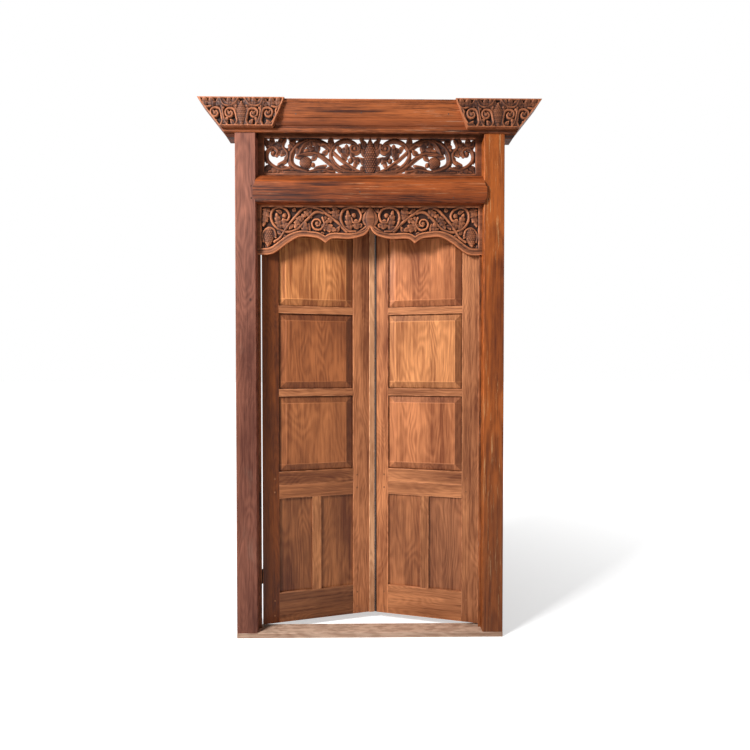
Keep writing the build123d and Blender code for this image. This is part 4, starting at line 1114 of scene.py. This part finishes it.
def carve_block(side, cell):
    """Carved block at one end of the crown"""
    node = ("left" if side < 0 else "right") + "_crown_block"
    low, high = box_mm("right_crown_block")
    depth, rise = high[1] - low[1], high[2] - low[2]
    outer_slant, inner_slant = block_slants
    outline = [(high[0], rise), (high[0] - outer_slant, 0.0), (low[0] + inner_slant, 0.0), (low[0], rise)]
    base = sum(x for x, z in outline) / 4 + block_shift
    outline = [(x - base, z) for x, z in outline]
    carving = Carving(low[0] - base, high[0] - base, 0.0, rise, cell, depth - block_ground, False)
    carving.layout(block_vines, block_leaves, block_lobed, block_buds, block_discs, depth - block_vine_drop)
    carving.height = np.minimum(carving.height, depth - block_skin)
    inside = inside_outline(carving.x, carving.z, outline)
    carving.band(block_rim - inside, depth - block_rim)
    carving.inside = inside
    stand_carving(carving, node, (base, high[1], low[2]), 0.31 + 0.2 * side, (0.92, 0.88, 0.86), side, False)


class TEMPLEDOOR_OT_grille(bpy.types.Operator):
    """Carve the pierced grille over the transom beam"""
    bl_idname = "temple_door.grille"
    bl_label = "Transom grille"

    def execute(self, context):
        carve_grille(context.scene.temple_door_carving.grille_cell / mm)
        return {"FINISHED"}


class TEMPLEDOOR_OT_valance(bpy.types.Operator):
    """Carve the scalloped valance under the transom beam"""
    bl_idname = "temple_door.valance"
    bl_label = "Valance"

    def execute(self, context):
        carve_valance(context.scene.temple_door_carving.cell / mm)
        return {"FINISHED"}


class TEMPLEDOOR_OT_crown_blocks(bpy.types.Operator):
    """Carve the two blocks of the crown"""
    bl_idname = "temple_door.crown_blocks"
    bl_label = "Crown blocks"

    def execute(self, context):
        for side in (-1, 1):
            carve_block(side, context.scene.temple_door_carving.cell / mm)
        return {"FINISHED"}


# Ironwork and nails

nail_places = {  # across and up, in metres, and the node whose face holds them
    "crown_cornice": [(-0.045, 2.655), (0.392, 2.652), (-0.371, 2.648)],
    "transom_beam": [(-0.052, 2.262), (0.418, 2.236)],
}
nail_radius = 3.5 * mm
nail_rise = 0.6 * mm
screw_radius = 3.6 * mm
screw_rise = 0.35 * mm
screw_slot = 0.8 * mm
screw_spread = 25.0 * mm  # between neighbouring screws of a hinge plate
screw_inset = 13.0 * mm  # from a plate's front edge
forward = (0.0, -1.0, 0.0)  # towards the viewer, out of the building


def on_surface(node, probe, facing):
    """The point of a node's surface met by looking at it against a direction, from 10 cm before the probe"""
    bm = bmesh.new()
    bm.from_mesh(nodes[node].data)
    tree = BVHTree.FromBMesh(bm)
    bm.free()
    facing = Vector(facing)
    return tree.ray_cast(probe + facing * 0.1, -facing)[0]


def round_head(bm, place, facing, radius, rise, slot):
    """Low domed head of a nail or screw on a face, with a slot across it if it has a width"""
    turn = Vector(facing).to_track_quat("Z", "Y").to_matrix().to_4x4()
    head = bmesh.new()
    bmesh.ops.create_cone(head, cap_ends=True, segments=20, radius1=radius, radius2=radius * 0.82,
                          depth=rise * 2.0)
    bevel(head, [edge for edge in head.edges if min(vert.co.z for vert in edge.verts) > 0.0], rise * 0.7, 3)
    if slot:
        for side in (-1, 1):
            bmesh.ops.bisect_plane(head, geom=head.verts[:] + head.edges[:] + head.faces[:], dist=1e-6,
                                   plane_co=(side * slot / 2, 0.0, 0.0), plane_no=(1.0, 0.0, 0.0))
        strip = [face for face in head.faces
                 if face.normal.z > 0.4 and abs(face.calc_center_median().x) < slot / 2]
        grown = bmesh.ops.extrude_face_region(head, geom=strip)["geom"]
        bmesh.ops.delete(head, geom=strip, context="FACES_ONLY")
        low = [item for item in grown if isinstance(item, bmesh.types.BMVert)]
        bmesh.ops.translate(head, verts=low, vec=(0.0, 0.0, -rise * 0.8))
    bmesh.ops.recalc_face_normals(head, faces=head.faces)
    smooth_rounds(head, radians(40.0))
    bmesh.ops.transform(head, matrix=Matrix.Translation(place) @ turn, verts=head.verts)
    joined = bpy.data.meshes.new("head")
    head.to_mesh(joined)
    head.free()
    bm.from_mesh(joined)
    bpy.data.meshes.remove(joined)


def add_heads(name, body, places, radius, rise, slot=0.0):
    """One piece with a steel head at each place, given as a point and the way that it faces"""
    bm = bmesh.new()
    for place, facing in places:
        round_head(bm, place, facing, radius, rise, slot)
    obj = new_object(bm, name, material("hinge_steel"))
    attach(obj, body)


def dress_iron(node):
    """Stands a smooth steel copy with eased edges in for a hinge's plain node"""
    bm = merged_copy(node)
    bevel(bm, [edge for edge in bm.edges if edge.is_manifold and edge.calc_face_angle() > radians(60.0)],
          0.3 * mm)
    smooth_rounds(bm, radians(35.0))
    obj = new_object(bm, node + "_steel", material("hinge_steel"))
    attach(obj, body_of(node))
    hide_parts(node)


def add_nails(node, places):
    """Nails in the front face of a board"""
    heads = []
    for x, z in places:
        depth = on_surface(node, Vector((x, -0.06, z)), forward).y
        heads.append(((x, depth, z), forward))
    add_heads(node + "_nails", "frame", heads, nail_radius, nail_rise)


def add_screws(side, place):
    """Three screws in the post's plate and three in the leaf's"""
    for part, body in (("post", "frame"), ("leaf", side + "_leaf")):
        node = f"{side}_{part}_{place}_hinge_plate"
        low, high = (Vector(corner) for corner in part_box(node))
        facing = Vector((1.0 if (side == "left") == (part == "post") else -1.0, 0.0, 0.0))
        if part == "leaf":
            facing = Matrix.Rotation(leaf_turn[body], 3, "Z") @ facing
        heads = []
        for step in (-1, 0, 1):
            probe = Vector(((low.x + high.x) / 2, low.y + screw_inset,
                            (low.z + high.z) / 2 + step * screw_spread))
            heads.append((on_surface(node, probe, facing), facing))
        add_heads(f"{node}_screws", body, heads, screw_radius, screw_rise, screw_slot)


class TEMPLEDOOR_OT_ironwork(bpy.types.Operator):
    """Hinges with their screws, and the nails in the crown and beams"""
    bl_idname = "temple_door.ironwork"
    bl_label = "Ironwork"

    def execute(self, context):
        for node in nodes:
            if slot_of(node) == "hinge_steel":
                dress_iron(node)
        for node, places in nail_places.items():
            add_nails(node, places)
        for side in ("left", "right"):
            for place in ("lower", "upper"):
                add_screws(side, place)
        return {"FINISHED"}


# Stage

black = (0.0, 0.0, 0.0, 1.0)
white = (1.0, 1.0, 1.0, 1.0)
floor_reach = 40.0  # from the middle of the floor to its edge, in metres
key_aim = (0.0, 0.0, 1.3)
fill_place = (2.6, -3.4, 1.8)
fill_aim = (0.0, 0.0, 1.2)
fill_size = 2.4


def add_camera(settings):
    """Camera of the picture"""
    data = bpy.data.cameras.new("camera")
    data.lens = settings.lens
    data.sensor_width = 36.0
    camera = bpy.data.objects.new("camera", data)
    bpy.context.collection.objects.link(camera)
    camera.location = settings.camera_place
    camera.rotation_euler = Euler((pi / 2 - settings.pitch, 0.0, -settings.yaw), "XYZ")
    bpy.context.scene.camera = camera


def add_lamp(name, place, aim, size, power):
    """Soft square lamp that faces a point"""
    lamp = bpy.data.lights.new(name, "AREA")
    lamp.size = size
    lamp.energy = power
    obj = bpy.data.objects.new(name, lamp)
    bpy.context.collection.objects.link(obj)
    obj.location = place
    obj.rotation_euler = (Vector(aim) - Vector(place)).to_track_quat("-Z", "Y").to_euler()


def make_sky(strength):
    """Even light from all round, white where the camera, gloss or glass sees it"""
    world = bpy.data.worlds.new("sky")
    world.use_nodes = True
    graph = Graph(world.node_tree)
    shown = graph.node("ShaderNodeMix", {}, {0: graph.seen(), 2: strength, 3: 1.0})
    graph.fill(graph.tree.nodes["Background"], {"Color": white, "Strength": shown})
    bpy.context.scene.world = world


def add_floor():
    """Pale floor that fades to white away from the door, where it is seen"""
    bm = bmesh.new()
    bmesh.ops.create_grid(bm, x_segments=1, y_segments=1, size=floor_reach)
    paint = Paint("pale_floor")
    place = paint.node("ShaderNodeTexCoord", output="Object")
    grit = paint.noise(place, 30.0, 3.0)
    base = paint.mix(grit, (0.90, 0.90, 0.90, 1.0), (0.96, 0.96, 0.96, 1.0))
    east, north, _ = paint.axes(place)
    glow = (((east * east + north * north) ** 0.5) * 0.16 + 0.42).clamped() * paint.seen()
    paint.fill(paint.shader, {"Emission Color": paint.mix(glow, black, white), "Emission Strength": 1.0})
    paint.finish(base, 0.9 - grit * 0.1, grit, 0.1 * mm)
    new_object(bm, "floor", paint.material)


class TEMPLEDOOR_OT_stage(bpy.types.Operator):
    """Camera, lamps, sky and the pale floor"""
    bl_idname = "temple_door.stage"
    bl_label = "Stage"

    def execute(self, context):
        settings = context.scene.temple_door_stage
        context.scene.view_settings.view_transform = "Standard"
        add_camera(settings)
        make_sky(settings.sky)
        add_floor()
        add_lamp("key_lamp", settings.key_place, key_aim, settings.key_size, settings.key_power)
        add_lamp("fill_lamp", fill_place, fill_aim, fill_size, settings.fill_power)
        return {"FINISHED"}


# Panel and registration

class TEMPLEDOOR_PT_panel(bpy.types.Panel):
    """Lists the steps and their settings"""
    bl_idname = "TEMPLEDOOR_PT_panel"
    bl_label = "Temple door"
    bl_space_type = "VIEW_3D"
    bl_region_type = "UI"
    bl_category = "Temple door"

    def draw(self, context):
        for step in steps:
            self.layout.operator(step.bl_idname)
        for name, group in settings_groups.items():
            box = self.layout.box()
            for key in group.__annotations__:
                box.prop(getattr(context.scene, name), key)


steps = [TEMPLEDOOR_OT_stage, TEMPLEDOOR_OT_frame_boards, TEMPLEDOOR_OT_leaf_boards, TEMPLEDOOR_OT_grille,
         TEMPLEDOOR_OT_valance, TEMPLEDOOR_OT_crown_blocks, TEMPLEDOOR_OT_ironwork]
settings_groups = {"temple_door_stage": DoorStageSettings, "temple_door_wood": DoorWoodSettings,
                   "temple_door_carving": DoorCarvingSettings}


def register():
    """Adds the settings, the steps and the panel"""
    for name, group in settings_groups.items():
        bpy.utils.register_class(group)
        setattr(bpy.types.Scene, name, PointerProperty(type=group))
    for step in steps:
        bpy.utils.register_class(step)
    bpy.utils.register_class(TEMPLEDOOR_PT_panel)


def unregister():
    """Takes away what register adds"""
    bpy.utils.unregister_class(TEMPLEDOOR_PT_panel)
    for step in reversed(steps):
        bpy.utils.unregister_class(step)
    for name, group in reversed(settings_groups.items()):
        delattr(bpy.types.Scene, name)
        bpy.utils.unregister_class(group)


def main():
    """Runs every step in turn"""
    register()
    for step in steps:
        family, name = step.bl_idname.split(".")
        getattr(getattr(bpy.ops, family), name)()


if __name__ == "__main__":
    main()
